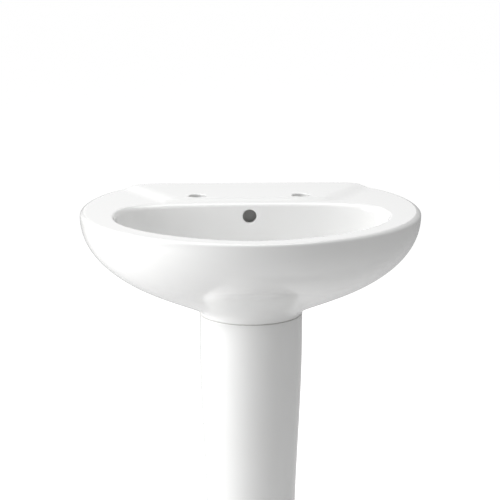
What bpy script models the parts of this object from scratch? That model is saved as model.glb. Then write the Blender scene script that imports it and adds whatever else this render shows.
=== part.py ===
"""A pedestal wash basin with its waste, bottle trap and fixings, in metres with +Z up.

The china basin has two tap holes and an overflow, and stands on a full-height china pedestal that
is open at the back. The origin is on the floor, on the plane of symmetry, midway between the wall
and the front of the basin. The front faces -Y, and the wall is the plane at WALL_Y.
"""

import math

import bmesh
import bpy
from mathutils import Vector

# ---- overall sizes
BASIN_WIDTH = 0.560
BASIN_DEPTH = 0.460
RIM_HEIGHT = 0.850
CHINA = 0.011  # wall of the basin and of the pedestal
GAP = 0.0003  # between pieces that touch
PAST = 0.010  # how far a cutter runs past the face that it cuts

# ---- basin: rim and deck
WIDEST_Y = 0.040  # where the outline is widest
REAR_CURVE = 0.288  # half axis of the outline behind that line, before the wall cuts it
CORNER_SOFTNESS = 0.050
RIM_FRONT = 0.029
RIM_SIDE = 0.060
DECK_REAR = 0.155  # from the wall to the bowl's edge
BOWL_WIDEST_Y = -0.035
INNER_LIP = 0.008
LEDGE_RISE = 0.006  # the tap ledge above the rim
LEDGE_FRONT_HALF = 0.118  # half its width at the bowl, and at the wall
LEDGE_REAR_HALF = 0.200
LEDGE_FADE = 0.035

# ---- basin: body and neck
BODY_DROP = 0.170  # from the rim to the foot of the neck
NECK_HALF_WIDTH = 0.0855
NECK_FRONT = 0.080
NECK_BACK = 0.100
NECK_Y = 0.020
NECK_RISE_FRONT = 0.041
NECK_RISE_SIDE = 0.003
BACK_WALL_DROP = 0.112
BACK_FLAT_HALF_WIDTH = 0.160
ACCESS_HALF_WIDTH = 0.150
HOLLOW_FROM_FRONT = 0.060

# ---- bowl, waste boss and overflow
BOWL_DEPTH = 0.136
WASTE_Y = 0.010
WASTE_HOLE_R = 0.023
BOSS_R = 0.036
BOSS_DEPTH = 0.036  # from the bowl's floor down
RECESS_R = 0.0345
RECESS_DEPTH = 0.005
OVERFLOW_R = 0.012
OVERFLOW_DROP = 0.022
DUCT_WIDTH = 0.026
DUCT_THICK = 0.011
DUCT_WALL = 0.008  # on its free side
DUCT_SET_IN = 0.002  # how far its outside goes into the bowl's wall

# ---- tap holes and wall fixings
TAP_SPACING = 0.175
TAP_HOLE_R = 0.014
TAP_FROM_WALL = 0.117
STUD_SPACING = 0.240
STUD_DROP = 0.070
STUD_R = 0.005
STUD_HOLE_R = 0.011

# ---- pedestal
SEAL_THICK = 0.003
FOOT_HALF_WIDTH = 0.104
FOOT_FRONT = 0.100
FOOT_BACK = 0.125
WAIST_HALF_WIDTH = 0.075
WAIST_FRONT = 0.070
WAIST_BACK = 0.098
WAIST_HEIGHT = 0.284
SHOULDER_DROP = 0.045  # from the pedestal's top to where its sides run upright
PLINTH_HEIGHT = 0.045
RETURN_FLANGE = 0.022
LUG_THICK = 0.014
LUG_REACH = 0.034
FLOOR_SCREW_R = 0.003

# ---- waste and plug
WASTE_TAIL_R = 0.0222
WASTE_BORE_R = 0.0190
WASTE_FLANGE_R = 0.0320
WASTE_LENGTH = 0.078  # below the bowl's floor
BRIDGE_DROP = 0.036  # from the bowl's floor to the top of the waste's cross bars
BRIDGE_THICK = 0.006
HUB_R = 0.0075
CARTRIDGE_SCREW_R = 0.0040
SLOT_RISE = 0.018  # height of the overflow slots and of the passage's end above the boss's foot
SLOT_HALF_WIDTH = 0.008
SLOT_HALF_HEIGHT = 0.005
UNDER_R = 0.0330  # of the seal and the slip washer below the basin
SEAL_HEIGHT = 0.006
SLIP_THICK = 0.0015
BACKNUT_FLATS = 0.060
BACKNUT_HEIGHT = 0.009
PLUG_TRAVEL = 0.009
PLUG_SEAT = 0.0006  # how far the pressed plug goes down into the flange
PLUG_R = 0.0285
PLUG_THICK = 0.0032
PLUNGER_R = 0.0035
CARTRIDGE_R = 0.0080
CARTRIDGE_BORE_R = 0.0062
CARTRIDGE_LENGTH = 0.032
SPRING_WIRE_R = 0.0006
SPRING_TURNS = 5

# ---- trap and waste pipe
PIPE_R = 0.0160
PIPE_WALL = 0.0018
TRAP_R = 0.0340
TRAP_WALL = 0.0030
OUTLET_WALL = 0.003  # round the pipe's socket
OUTLET_MARGIN = 0.002  # above and below the outlet, in the trap's head
CUP_HEIGHT = 0.102
CUP_NECK = 0.010  # how far the cup goes up into the head
INLET_TAIL = 0.040
DIP_CLEARANCE = 0.028
SOCKET_DEPTH = 0.012  # how far the pipe goes into the trap

# ---- derived levels and places
WALL_Y = BASIN_DEPTH / 2
FRONT_Y = -BASIN_DEPTH / 2
HALF_WIDTH = BASIN_WIDTH / 2
NECK_FOOT = RIM_HEIGHT - BODY_DROP
PEDESTAL_TOP = NECK_FOOT - SEAL_THICK - 2 * GAP
FLOOR_OF_BOWL = RIM_HEIGHT - BOWL_DEPTH
BOSS_FOOT = FLOOR_OF_BOWL - BOSS_DEPTH
TAIL_END = FLOOR_OF_BOWL - WASTE_LENGTH
TAP_Y = WALL_Y - TAP_FROM_WALL
STUD_Z = RIM_HEIGHT - STUD_DROP

SPOKES = 56
AROUND = 24  # sides of a large turned piece
AROUND_SMALL = 16


# ---------------------------------------------------------------- tools


def clear_scene():
    for obj in list(bpy.data.objects):
        bpy.data.objects.remove(obj, do_unlink=True)


def finish_of(name, colour, roughness, metallic=0.0):
    """A Principled material, made once for each name."""
    made = bpy.data.materials.get(name)
    if made:
        return made
    made = bpy.data.materials.new(name)
    made.use_nodes = True
    shader = made.node_tree.nodes["Principled BSDF"]
    shader.inputs["Base Color"].default_value = (*colour, 1.0)
    shader.inputs["Roughness"].default_value = roughness
    shader.inputs["Metallic"].default_value = metallic
    return made


def china():
    return finish_of("white_china", (0.86, 0.86, 0.85), 0.08)


def chrome():
    return finish_of("chrome", (0.80, 0.81, 0.82), 0.08, 1.0)


def zinc():
    return finish_of("zinc_steel", (0.62, 0.63, 0.64), 0.35, 1.0)


def white_plastic():
    return finish_of("white_plastic", (0.80, 0.80, 0.78), 0.40)


def clear_nylon():
    return finish_of("nylon", (0.70, 0.70, 0.66), 0.50)


def rubber():
    return finish_of("black_rubber", (0.03, 0.03, 0.03), 0.80)


def foam():
    return finish_of("grey_foam", (0.45, 0.45, 0.44), 0.90)


def object_from(name, bm, finish=None):
    """A new object from a bmesh, with outward normals. Without a finish it is a hidden cutter."""
    bmesh.ops.recalc_face_normals(bm, faces=bm.faces)
    mesh = bpy.data.meshes.new(name)
    bm.to_mesh(mesh)
    bm.free()
    obj = bpy.data.objects.new(name, mesh)
    bpy.context.scene.collection.objects.link(obj)
    if finish is None:
        obj.hide_render = True
        obj.display_type = "WIRE"
    else:
        mesh.materials.append(finish)
        mesh.shade_smooth()
        mesh.set_sharp_from_angle(angle=math.radians(35))
    return obj


def loft(rings, capped=True):
    """A bmesh skinned over rings of equal length. Uncapped, the last ring joins the first."""
    bm = bmesh.new()
    rows = [[bm.verts.new(point) for point in ring] for ring in rings]
    pairs = list(zip(rows, rows[1:]))
    if not capped:
        pairs.append((rows[-1], rows[0]))
    for low, high in pairs:
        for i in range(len(low)):
            j = (i + 1) % len(low)
            bm.faces.new((low[i], low[j], high[j], high[i]))
    if capped:
        bm.faces.new(list(reversed(rows[0])))
        bm.faces.new(rows[-1])
    return bm


def circle(radius, z, sides, centre=(0.0, 0.0), shape=None):
    """A ring of points. shape, if given, turns a radius and an angle into the radius there."""
    points = []
    for i in range(sides):
        angle = 2 * math.pi * i / sides
        r = shape(radius, angle) if shape else radius
        points.append(Vector((centre[0] + r * math.cos(angle), centre[1] + r * math.sin(angle), z)))
    return points


def turned(name, profile, finish, at=(0, 0, 0), along_y=False, sides=AROUND):
    """A turned piece. profile is a closed outline of (radius, height). Radius 0 ends it solid."""
    solid = profile[0][0] == 0
    points = [p for p in profile if p[0] > 0]
    bm = loft([circle(r, z, sides) for r, z in points], capped=solid)
    obj = object_from(name, bm, finish)
    obj.location = at
    if along_y:
        obj.rotation_euler = (-math.pi / 2, 0, 0)
    return obj


def ring_profile(inner, outer, low, high):
    return [(inner, low), (outer, low), (outer, high), (inner, high)]


def rod_profile(radius, low, high):
    return [(0, low), (radius, low), (radius, high), (0, high)]


def hexagon(radius, angle):
    """Radius of a hexagon whose flats are 2 * radius apart."""
    from_flat = (angle + math.pi / 6) % (math.pi / 3) - math.pi / 6
    return radius / math.cos(from_flat)


def nut(name, flats, bore, height, finish, at, along_y=False):
    """A chamfered hexagon nut, with its foot at `at`."""
    half = flats / 2
    chamfer = flats * 0.05
    crown = half * 1.02

    def round_off(radius, angle):
        return min(hexagon(radius, angle), crown)

    sides = 24
    rings = [
        circle(bore, 0, sides),
        circle(half, 0, sides, shape=round_off),
        circle(half, chamfer, sides, shape=hexagon),
        circle(half, height - chamfer, sides, shape=hexagon),
        circle(half, height, sides, shape=round_off),
        circle(bore, height, sides),
    ]
    obj = object_from(name, loft(rings, capped=False), finish)
    obj.location = at
    if along_y:
        obj.rotation_euler = (-math.pi / 2, 0, 0)
    return obj


def ribbed_nut(name, outer, bore, height, ribs, finish, at, lip=None, along_y=False):
    """A hand nut with ribs round it. lip is (bore, thickness) of an inward flange at its foot."""
    rib = outer * 0.06
    sides = ribs * 4

    def ribbed(radius, angle):
        return radius + rib * max(0.0, math.cos(ribs * angle)) ** 0.5

    lip_bore, lip_thick = lip or (bore, height / 2)
    edge = height * 0.08
    rings = [
        circle(lip_bore, 0, sides),
        circle(outer - edge, 0, sides),
        circle(outer, edge, sides, shape=ribbed),
        circle(outer, height - edge, sides, shape=ribbed),
        circle(outer - edge, height, sides),
        circle(bore, height, sides),
        circle(bore, lip_thick, sides),
        circle(lip_bore, lip_thick, sides),
    ]
    if lip is None:
        rings = rings[:6]
    obj = object_from(name, loft(rings, capped=False), finish)
    obj.location = at
    if along_y:
        obj.rotation_euler = (-math.pi / 2, 0, 0)
    return obj


def box(name, low, high, finish=None):
    bm = bmesh.new()
    bmesh.ops.create_cube(bm, size=1.0)
    low, high = Vector(low), Vector(high)
    bmesh.ops.scale(bm, vec=high - low, verts=bm.verts)
    bmesh.ops.translate(bm, vec=(low + high) / 2, verts=bm.verts)
    return object_from(name, bm, finish)


def drill(name, radius, start, end, sides=24):
    """A hidden cylinder from start to end, for cutting."""
    start, end = Vector(start), Vector(end)
    bm = bmesh.new()
    bmesh.ops.create_cone(
        bm, segments=sides, radius1=radius, radius2=radius, depth=(end - start).length, cap_ends=True
    )
    obj = object_from(name, bm)
    obj.location = (start + end) / 2
    obj.rotation_euler = (end - start).to_track_quat("Z", "Y").to_euler()
    return obj


def upright_drill(name, radius, x, y, low, high, sides=24):
    """A hidden upright cylinder, for cutting."""
    return drill(name, radius, (x, y, low), (x, y, high), sides)


def boolean(obj, other, operation="DIFFERENCE"):
    modifier = obj.modifiers.new(other.name, "BOOLEAN")
    modifier.operation = operation
    modifier.object = other
    modifier.solver = "EXACT"


def mix(a, b, share):
    return a + (b - a) * share


def smooth(x, low, high):
    """0 below low, 1 above high, and an S curve between. Works with low above high too."""
    t = min(1.0, max(0.0, (x - low) / (high - low)))
    return t * t * (3 - 2 * t)


def soft_min(a, b, width):
    """The smaller of two values, with the corner between them rounded over width."""
    h = max(width - abs(a - b), 0.0) / width
    return min(a, b) - h * h * width / 4


def bezier(t, *points):
    """A point of a cubic curve in the plane."""
    a, b, c, d = (1 - t) ** 3, 3 * t * (1 - t) ** 2, 3 * t * t * (1 - t), t**3
    return tuple(a * p + b * q + c * r + d * s for p, q, r, s in zip(*points))


# ---------------------------------------------------------------- basin outlines


def spoke_angles():
    return [2 * math.pi * i / SPOKES for i in range(SPOKES)]


def superellipse(angle, half_width, half_front, half_back, front_power, back_power, centre_y):
    """A point of a closed curve whose front and back halves have their own depth and squareness."""
    c, s = math.cos(angle), math.sin(angle)
    power = mix(front_power, back_power, smooth(s, -0.25, 0.25))
    scale = (abs(c) ** power + abs(s) ** power) ** (-1 / power)
    return Vector((half_width * c * scale, centre_y + (half_back if s > 0 else half_front) * s * scale))


def rim_outline(angle, inset=0.0):
    """The basin's widest outline: an ellipse that the wall cuts off."""
    c, s = math.cos(angle), math.sin(angle)
    front = WIDEST_Y - FRONT_Y
    x = (HALF_WIDTH - inset) * c
    y = WIDEST_Y + ((REAR_CURVE if s > 0 else front) - inset) * s
    return Vector((x, soft_min(y, WALL_Y - inset, CORNER_SOFTNESS)))


def opening_outline(angle):
    """The edge of the bowl."""
    return superellipse(
        angle,
        HALF_WIDTH - RIM_SIDE,
        BOWL_WIDEST_Y - (FRONT_Y + RIM_FRONT),
        WALL_Y - DECK_REAR - BOWL_WIDEST_Y,
        1.7,
        3.7,
        BOWL_WIDEST_Y,
    )


def neck_outline(angle, inset=0.0):
    """The basin's foot, which the pedestal's top matches."""
    return superellipse(
        angle, NECK_HALF_WIDTH - inset, NECK_FRONT - inset, NECK_BACK - inset, 2.0, 5.0, NECK_Y
    )


def frontness(angle):
    return max(0.0, -math.sin(angle))


def against_wall(angle):
    """1 on the spokes that end on the flat of the back wall, and 0 on those well clear of it."""
    rim = rim_outline(angle)
    flat = smooth(abs(rim.x), BACK_FLAT_HALF_WIDTH + 0.065, BACK_FLAT_HALF_WIDTH)
    return flat * smooth(rim.y, WALL_Y - 0.060, WALL_Y - 0.0005)


def deck_z(x, y):
    """Height of the rim and of the raised tap ledge."""
    edge = WALL_Y - DECK_REAR + INNER_LIP
    half = mix(LEDGE_FRONT_HALF, LEDGE_REAR_HALF, (y - edge) / (WALL_Y - edge))
    across = smooth(abs(x), half + LEDGE_FADE, half)
    back = smooth(y, edge, edge + 0.014)
    return RIM_HEIGHT + LEDGE_RISE * across * back


def outer_lip(angle):
    """(width, height) of the rounding where the deck turns down into the body."""
    front, wall = frontness(angle), against_wall(angle)
    width = mix(mix(0.014, 0.008, front), 0.004, wall)
    height = mix(mix(0.011, 0.008, front), 0.004, wall)
    return width, height


# ---------------------------------------------------------------- basin surface


def waste_ring(radius, angle, z):
    return Vector((radius * math.cos(angle), WASTE_Y + radius * math.sin(angle), z))


def bowl_section(angle, steps):
    """Points of the bowl's inside on one spoke, from the edge of the waste up to the lip."""
    start = waste_ring(RECESS_R + 0.004, angle, FLOOR_OF_BOWL)
    end = opening_outline(angle)
    front = frontness(angle) ** 2
    floor_pull = (mix(0.60, 0.52, front), mix(0.985, 0.80, front))
    wall_pull = (0.985, mix(0.76, 0.60, front))
    lip_share = INNER_LIP / BOWL_DEPTH
    points = []
    for i in range(steps + 1):
        out, depth = bezier(i / steps, (0, 1), floor_pull, wall_pull, (1, lip_share))
        points.append(
            Vector((mix(start.x, end.x, out), mix(start.y, end.y, out), RIM_HEIGHT - depth * BOWL_DEPTH))
        )
    return points


def lip_section(angle, steps):
    """The quarter round from the bowl's edge out to the deck."""
    edge = opening_outline(angle)
    outward = (rim_outline(angle) - edge).normalized()
    points = []
    for i in range(1, steps + 1):
        turn = math.pi / 2 * i / steps
        place = edge + outward * INNER_LIP * (1 - math.cos(turn))
        crest = edge + outward * INNER_LIP
        z = deck_z(crest.x, crest.y) - INNER_LIP * (1 - math.sin(turn))
        points.append(Vector((place.x, place.y, z)))
    return points


def deck_section(angle, steps):
    """The deck from the inner lip to the outer one, and the outer lip's quarter round."""
    edge, rim = opening_outline(angle), rim_outline(angle)
    outward = (rim - edge).normalized()
    width, height = outer_lip(angle)
    start = edge + outward * INNER_LIP
    end = rim_outline(angle, width)
    points = []
    for i in range(1, steps + 1):
        place = start.lerp(end, (i / steps) ** 1.5)
        points.append(Vector((place.x, place.y, deck_z(place.x, place.y))))
    turns = 4
    for i in range(1, turns + 1):
        turn = math.pi / 2 * i / turns
        place = rim_outline(angle, width * (1 - math.sin(turn)))
        points.append(Vector((place.x, place.y, deck_z(end.x, end.y) - height * (1 - math.cos(turn)))))
    return points


def body_section(angle, steps, inset=0.0):
    """The outside from below the lip to the neck's foot. inset gives the inside of the wall."""
    top, foot = rim_outline(angle, inset), neck_outline(angle, inset)
    z_top = RIM_HEIGHT - outer_lip(angle)[1]
    front = frontness(angle)
    join = NECK_FOOT + mix(NECK_RISE_SIDE, NECK_RISE_FRONT, front**1.5) + inset * 0.8
    wall = against_wall(angle)
    straight = (BACK_WALL_DROP - outer_lip(angle)[1]) / (z_top - join)
    side = ((1, 0), (1, mix(0.52, 0.46, front)), (0.50, mix(0.76, 0.84, front)), (0, 1))
    points = []
    for i in range(1, steps + 1):
        t = i / steps
        out, drop = bezier(t, *side)
        # Against the wall the body drops straight, then slants forward to the neck.
        knee = 0.625
        back_out = 1.0 if t <= knee else (1 - t) / (1 - knee)
        back_drop = straight * t / knee if t <= knee else mix(straight, 1.0, (t - knee) / (1 - knee))
        out, drop = mix(out, back_out, wall), mix(drop, back_drop, wall)
        place = foot.lerp(top, out)
        points.append(Vector((place.x, place.y, mix(z_top, join, drop))))
    return points


def neck_section(angle, inset=0.0, foot=NECK_FOOT):
    """The upright neck, from just under its join with the body to its foot."""
    place = neck_outline(angle, inset)
    join = NECK_FOOT + mix(NECK_RISE_SIDE, NECK_RISE_FRONT, frontness(angle) ** 1.5)
    shoulder = mix(join, NECK_FOOT, 0.30)
    return [Vector((place.x, place.y, z)) for z in (shoulder, foot)]


def rings_from(section):
    """Turns one section for each spoke into rings."""
    return [list(ring) for ring in zip(*(section(angle) for angle in spoke_angles()))]


def visible_section(angle):
    body = body_section(angle, 8)
    neck = neck_section(angle)
    body[-1] = soften(body[-2], body[-1], neck[0])
    return bowl_section(angle, 8) + lip_section(angle, 3) + deck_section(angle, 4) + body + neck


def soften(before, corner, after):
    """Pulls a corner point towards its neighbours, so that a hollow corner becomes a fillet."""
    return corner * 0.5 + (before + after) * 0.25


def bowl_outside_section(angle):
    """The hidden side of the bowl, one wall thickness out."""
    inside = bowl_section(angle, 6)
    points = [waste_ring(BOSS_R - 0.006, angle, FLOOR_OF_BOWL - CHINA)]
    for before, here, after in zip(inside, inside[1:], inside[2:]):
        along = (after - before).normalized()
        flat = Vector((along.x, along.y, 0))
        if flat.length < 1e-6:
            continue
        outward = flat.normalized()
        normal = Vector((outward.x * along.z, outward.y * along.z, -flat.length))
        points.append(here + normal.normalized() * CHINA)
    edge = opening_outline(angle)
    outward = (rim_outline(angle) - edge).normalized()
    crest = edge + outward * CHINA
    for z in (RIM_HEIGHT - INNER_LIP, RIM_HEIGHT - CHINA / 2):
        points.append(Vector((crest.x, crest.y, z)))
    return points


def body_inside_section(angle):
    """The hidden side of the deck and body, closed below the neck's foot."""
    top = rim_outline(angle, CHINA)
    under_deck = Vector((top.x, top.y, RIM_HEIGHT - CHINA))
    below = NECK_FOOT - 0.020
    return [under_deck, *body_section(angle, 8, CHINA), *neck_section(angle, CHINA, below)]


def basin_hollow():
    """The space under the deck, round the back of the bowl and down through the neck."""
    hollow = object_from("hollow_body", loft(rings_from(body_inside_section)))
    behind_y = FRONT_Y + HOLLOW_FROM_FRONT
    rear = box(
        "hollow_rear_half",
        (-HALF_WIDTH, behind_y, NECK_FOOT - 0.030),
        (HALF_WIDTH, WALL_Y, RIM_HEIGHT),
    )
    boolean(hollow, rear, "INTERSECT")
    below = NECK_FOOT - 0.020
    high = FLOOR_OF_BOWL + 0.004
    inside_neck = object_from(
        "hollow_neck",
        loft(
            [
                [Vector((*neck_outline(angle, CHINA), z)) for angle in spoke_angles()]
                for z in (below - 0.001, high)
            ]
        ),
    )
    boolean(hollow, inside_neck, "UNION")
    bowl = object_from("hollow_bowl_side", loft(rings_from(bowl_outside_section)))
    boolean(hollow, bowl)
    return hollow


def rear_access():
    """The opening below the back wall, flaring from the neck's width. It gives room for a hand."""
    low, high = NECK_FOOT - 0.012, RIM_HEIGHT - BACK_WALL_DROP + 0.008
    narrow = NECK_HALF_WIDTH - CHINA
    rings = []
    for y in (NECK_Y + NECK_BACK - 0.025, WALL_Y - CHINA):
        corners = ((-narrow, low), (narrow, low), (ACCESS_HALF_WIDTH, high), (-ACCESS_HALF_WIDTH, high))
        rings.append([Vector((x, y, z)) for x, z in corners])
    return object_from("rear_access", loft(rings))


def overflow_path():
    """Centre line of the overflow passage, from behind its hole down to the side of the waste."""
    back = opening_outline(math.pi / 2).y
    top = RIM_HEIGHT - OVERFLOW_DROP
    reach = CHINA + DUCT_THICK / 2
    low = BOSS_FOOT + SLOT_RISE
    return [
        Vector((0, back + reach, top + OVERFLOW_R + 0.002)),
        Vector((0, back + reach - 0.001, top)),
        Vector((0, back + reach - 0.006, mix(top, low, 0.35))),
        Vector((0, back + reach - 0.010, mix(top, low, 0.70))),
        Vector((0, WASTE_Y + BOSS_R + 0.016, low + 0.010)),
        Vector((0, WASTE_Y + WASTE_HOLE_R - 0.004, low)),
    ]


def duct(name, side_wall, free_wall, bowl_wall):
    """A flat tube with rounded sides along the overflow path, grown by a wall on each side."""
    path = overflow_path()
    width = DUCT_WIDTH + 2 * side_wall
    thick = DUCT_THICK + free_wall + bowl_wall
    rings = []
    for i, here in enumerate(path):
        along = (path[min(i + 1, len(path) - 1)] - path[max(i - 1, 0)]).normalized()
        across = Vector((1, 0, 0))
        to_bowl = along.cross(across).normalized()
        middle = here + to_bowl * (bowl_wall - free_wall) / 2
        ring = []
        for k in range(16):
            angle = 2 * math.pi * (k + 0.5) / 16
            c, s = math.cos(angle), math.sin(angle)
            bulge = (abs(c) ** 4 + abs(s) ** 4) ** -0.25
            ring.append(middle + across * (width / 2 * c * bulge) + to_bowl * (thick / 2 * s * bulge))
        rings.append(ring)
    return object_from(name, loft(rings))


def waste_boss():
    """The thick ring under the bowl's floor that the waste passes through."""
    high = FLOOR_OF_BOWL - CHINA / 2
    return upright_drill("waste_boss", BOSS_R, 0, WASTE_Y, BOSS_FOOT, high, 40)


def build_basin():
    basin = object_from("basin", loft(rings_from(visible_section)), china())
    boolean(basin, basin_hollow())
    boolean(basin, rear_access())
    boolean(basin, waste_boss(), "UNION")
    boolean(basin, duct("duct_outside", DUCT_WALL, DUCT_WALL, DUCT_SET_IN), "UNION")
    boolean(basin, duct("duct_inside", 0, 0, 0))
    overflow_z = RIM_HEIGHT - OVERFLOW_DROP
    back = opening_outline(math.pi / 2).y
    start, end = (0, back - 2 * PAST, overflow_z), (0, back + CHINA + 0.004, overflow_z)
    boolean(basin, drill("overflow_hole", OVERFLOW_R, start, end))
    floor = FLOOR_OF_BOWL
    boolean(basin, upright_drill("waste_hole", WASTE_HOLE_R, 0, WASTE_Y, BOSS_FOOT - PAST, RIM_HEIGHT, 32))
    boolean(basin, upright_drill("waste_recess", RECESS_R, 0, WASTE_Y, floor - RECESS_DEPTH, floor + PAST, 32))
    for side, name in ((-1, "left"), (1, "right")):
        x = side * TAP_SPACING / 2
        low, high = RIM_HEIGHT - CHINA - 2 * PAST, RIM_HEIGHT + LEDGE_RISE + PAST
        boolean(basin, upright_drill(f"tap_hole_{name}", TAP_HOLE_R, x, TAP_Y, low, high))
        x = side * STUD_SPACING / 2
        start, end = (x, WALL_Y - CHINA - 2 * PAST, STUD_Z), (x, WALL_Y + PAST, STUD_Z)
        boolean(basin, drill(f"stud_hole_{name}", STUD_HOLE_R, start, end))
    return basin


# ---------------------------------------------------------------- pedestal


def pedestal_sizes(z):
    """(half width, front depth, back depth) of the pedestal at a height."""
    if z >= WAIST_HEIGHT:
        share = smooth(z, WAIST_HEIGHT, PEDESTAL_TOP - SHOULDER_DROP)
        sizes = (
            (WAIST_HALF_WIDTH, NECK_HALF_WIDTH),
            (WAIST_FRONT, NECK_FRONT),
            (WAIST_BACK, NECK_BACK),
        )
    else:
        share = smooth(z, WAIST_HEIGHT, PLINTH_HEIGHT)
        sizes = (
            (WAIST_HALF_WIDTH, FOOT_HALF_WIDTH),
            (WAIST_FRONT, FOOT_FRONT),
            (WAIST_BACK, FOOT_BACK),
        )
    return tuple(mix(low, high, share) for low, high in sizes)


def pedestal_ring(z):
    """The U section at a height: round the outside, across the back returns, and round the inside."""
    half, front, back = pedestal_sizes(z)
    arc = 14
    outside = []
    for i in range(arc + 1):
        angle = math.pi * i / arc
        outside.append(Vector((half * math.cos(angle), NECK_Y - front * math.sin(angle), z)))
    right_back = [
        Vector((half - CHINA - RETURN_FLANGE, NECK_Y + back, z)),
        Vector((half - 0.006, NECK_Y + back, z)),
        Vector((half, NECK_Y + back - 0.006, z)),
        Vector((half, NECK_Y + back / 2, z)),
    ]
    left_back = [Vector((-p.x, p.y, z)) for p in reversed(right_back)]
    inner_half, inner_front = half - CHINA, front - CHINA
    inside = []
    for i in range(arc + 1):
        angle = math.pi * i / arc
        inside.append(Vector((-inner_half * math.cos(angle), NECK_Y - inner_front * math.sin(angle), z)))
    left_inner = [
        Vector((-(half - CHINA - RETURN_FLANGE), NECK_Y + back - CHINA, z)),
        Vector((-inner_half, NECK_Y + back - CHINA, z)),
        Vector((-inner_half, NECK_Y + back / 2, z)),
    ]
    right_inner = [Vector((-p.x, p.y, z)) for p in reversed(left_inner)]
    return right_back + outside + left_back + left_inner + inside + right_inner


def pedestal_levels():
    steps = 5
    below = [mix(PLINTH_HEIGHT, WAIST_HEIGHT, i / steps) for i in range(steps + 1)]
    above = [mix(WAIST_HEIGHT, PEDESTAL_TOP - SHOULDER_DROP, i / steps) for i in range(1, steps + 1)]
    return [0.0, *below, *above, PEDESTAL_TOP]


def lug_x():
    return FOOT_HALF_WIDTH - CHINA - LUG_REACH / 2


def lug_y():
    return NECK_Y + FOOT_BACK - CHINA - LUG_REACH / 2


def build_pedestal():
    pedestal = object_from("pedestal", loft([pedestal_ring(z) for z in pedestal_levels()]), china())
    for side, name in ((-1, "left"), (1, "right")):
        x = side * lug_x()
        reach = LUG_REACH / 2
        lug = box(
            f"lug_{name}",
            (x - reach - 0.002, lug_y() - reach, 0),
            (x + reach + 0.002, lug_y() + reach + 0.002, LUG_THICK),
        )
        boolean(pedestal, lug, "UNION")
        low, high, radius = -PAST, LUG_THICK + PAST, FLOOR_SCREW_R + 0.001
        boolean(pedestal, upright_drill(f"lug_hole_{name}", radius, x, lug_y(), low, high, 16))
    return pedestal


def build_pedestal_seal():
    """A soft strip between the pedestal's top edge and the basin's neck."""
    low, high = PEDESTAL_TOP + GAP, PEDESTAL_TOP + GAP + SEAL_THICK
    inset = 0.003
    half, front = NECK_HALF_WIDTH - inset, NECK_FRONT - inset
    inner_half, inner_front = NECK_HALF_WIDTH - CHINA + inset, NECK_FRONT - CHINA + inset
    end = NECK_Y + NECK_BACK - 0.030
    arc = 16
    rings = []
    for z in (low, high):
        ring = [Vector((half, end, z))]
        for i in range(arc + 1):
            angle = math.pi * i / arc
            ring.append(Vector((half * math.cos(angle), NECK_Y - front * math.sin(angle), z)))
        ring += [Vector((-half, end, z)), Vector((-inner_half, end, z))]
        for i in range(arc + 1):
            angle = math.pi * i / arc
            ring.append(Vector((-inner_half * math.cos(angle), NECK_Y - inner_front * math.sin(angle), z)))
        ring.append(Vector((inner_half, end, z)))
        rings.append(ring)
    return object_from("pedestal_seal", loft(rings), foam())


# ---------------------------------------------------------------- fixings


def build_wall_fixings():
    """On each side a stud from the wall, with its flanged bush, washer and nut inside the basin."""
    inner_face = WALL_Y - CHINA
    for side, name in ((-1, "left"), (1, "right")):
        x = side * STUD_SPACING / 2
        flange = 0.003
        # Along -Y from the wall: bush, washer, nut. A turned piece grows along +Y from its foot.
        bush_foot = inner_face - GAP - flange
        turned(
            f"wall_bush_{name}",
            [
                (STUD_R + GAP, 0),
                (0.016, 0),
                (0.016, flange),
                (STUD_HOLE_R - GAP, flange),
                (STUD_HOLE_R - GAP, flange + CHINA),
                (STUD_R + GAP, flange + CHINA),
            ],
            clear_nylon(),
            (x, bush_foot, STUD_Z),
            along_y=True,
            sides=AROUND_SMALL,
        )
        washer = 0.002
        washer_foot = bush_foot - GAP - washer
        turned(
            f"wall_washer_{name}",
            ring_profile(STUD_R + GAP, 0.0115, 0, washer),
            zinc(),
            (x, washer_foot, STUD_Z),
            along_y=True,
            sides=AROUND_SMALL,
        )
        height = 0.008
        nut_foot = washer_foot - GAP - height
        nut(f"wall_nut_{name}", 0.017, STUD_R + GAP, height, zinc(), (x, nut_foot, STUD_Z), along_y=True)
        stud_end = nut_foot - 0.007
        turned(
            f"wall_stud_{name}",
            rod_profile(STUD_R, 0, WALL_Y - stud_end),
            zinc(),
            (x, stud_end, STUD_Z),
            along_y=True,
            sides=AROUND_SMALL,
        )


def build_floor_fixings():
    """On each lug a screw down to the floor, on a plastic seat that a dome cap snaps over."""
    seat_thick, seat_r = 0.002, 0.010
    head_r, head_thick = 0.006, 0.0035
    for side, name in ((-1, "left"), (1, "right")):
        place = (side * lug_x(), lug_y(), 0)
        seat = LUG_THICK + GAP
        turned(
            f"floor_screw_seat_{name}",
            ring_profile(FLOOR_SCREW_R + GAP, seat_r, seat, seat + seat_thick),
            white_plastic(),
            place,
            sides=AROUND_SMALL,
        )
        head = seat + seat_thick + GAP
        turned(
            f"floor_screw_{name}",
            [
                (0, 0),
                (FLOOR_SCREW_R, 0),
                (FLOOR_SCREW_R, head),
                (head_r, head),
                (head_r, head + head_thick * 0.6),
                (head_r * 0.6, head + head_thick),
                (0, head + head_thick),
            ],
            zinc(),
            place,
            sides=AROUND_SMALL,
        )
        wall = 0.0012
        skirt = seat + 0.0005
        crown = head + head_thick + GAP
        inner = seat_r + GAP
        turned(
            f"floor_screw_cap_{name}",
            [
                (0, crown + wall),
                (inner * 0.55, crown + wall * 0.8),
                (inner * 0.90, crown - wall),
                (inner + wall, skirt + 0.002),
                (inner + wall, skirt),
                (inner, skirt),
                (inner, skirt + 0.002),
                (inner * 0.84, crown - wall * 1.6),
                (inner * 0.50, crown),
                (0, crown),
            ],
            white_plastic(),
            place,
            sides=AROUND_SMALL,
        )


# ---------------------------------------------------------------- waste


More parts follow.
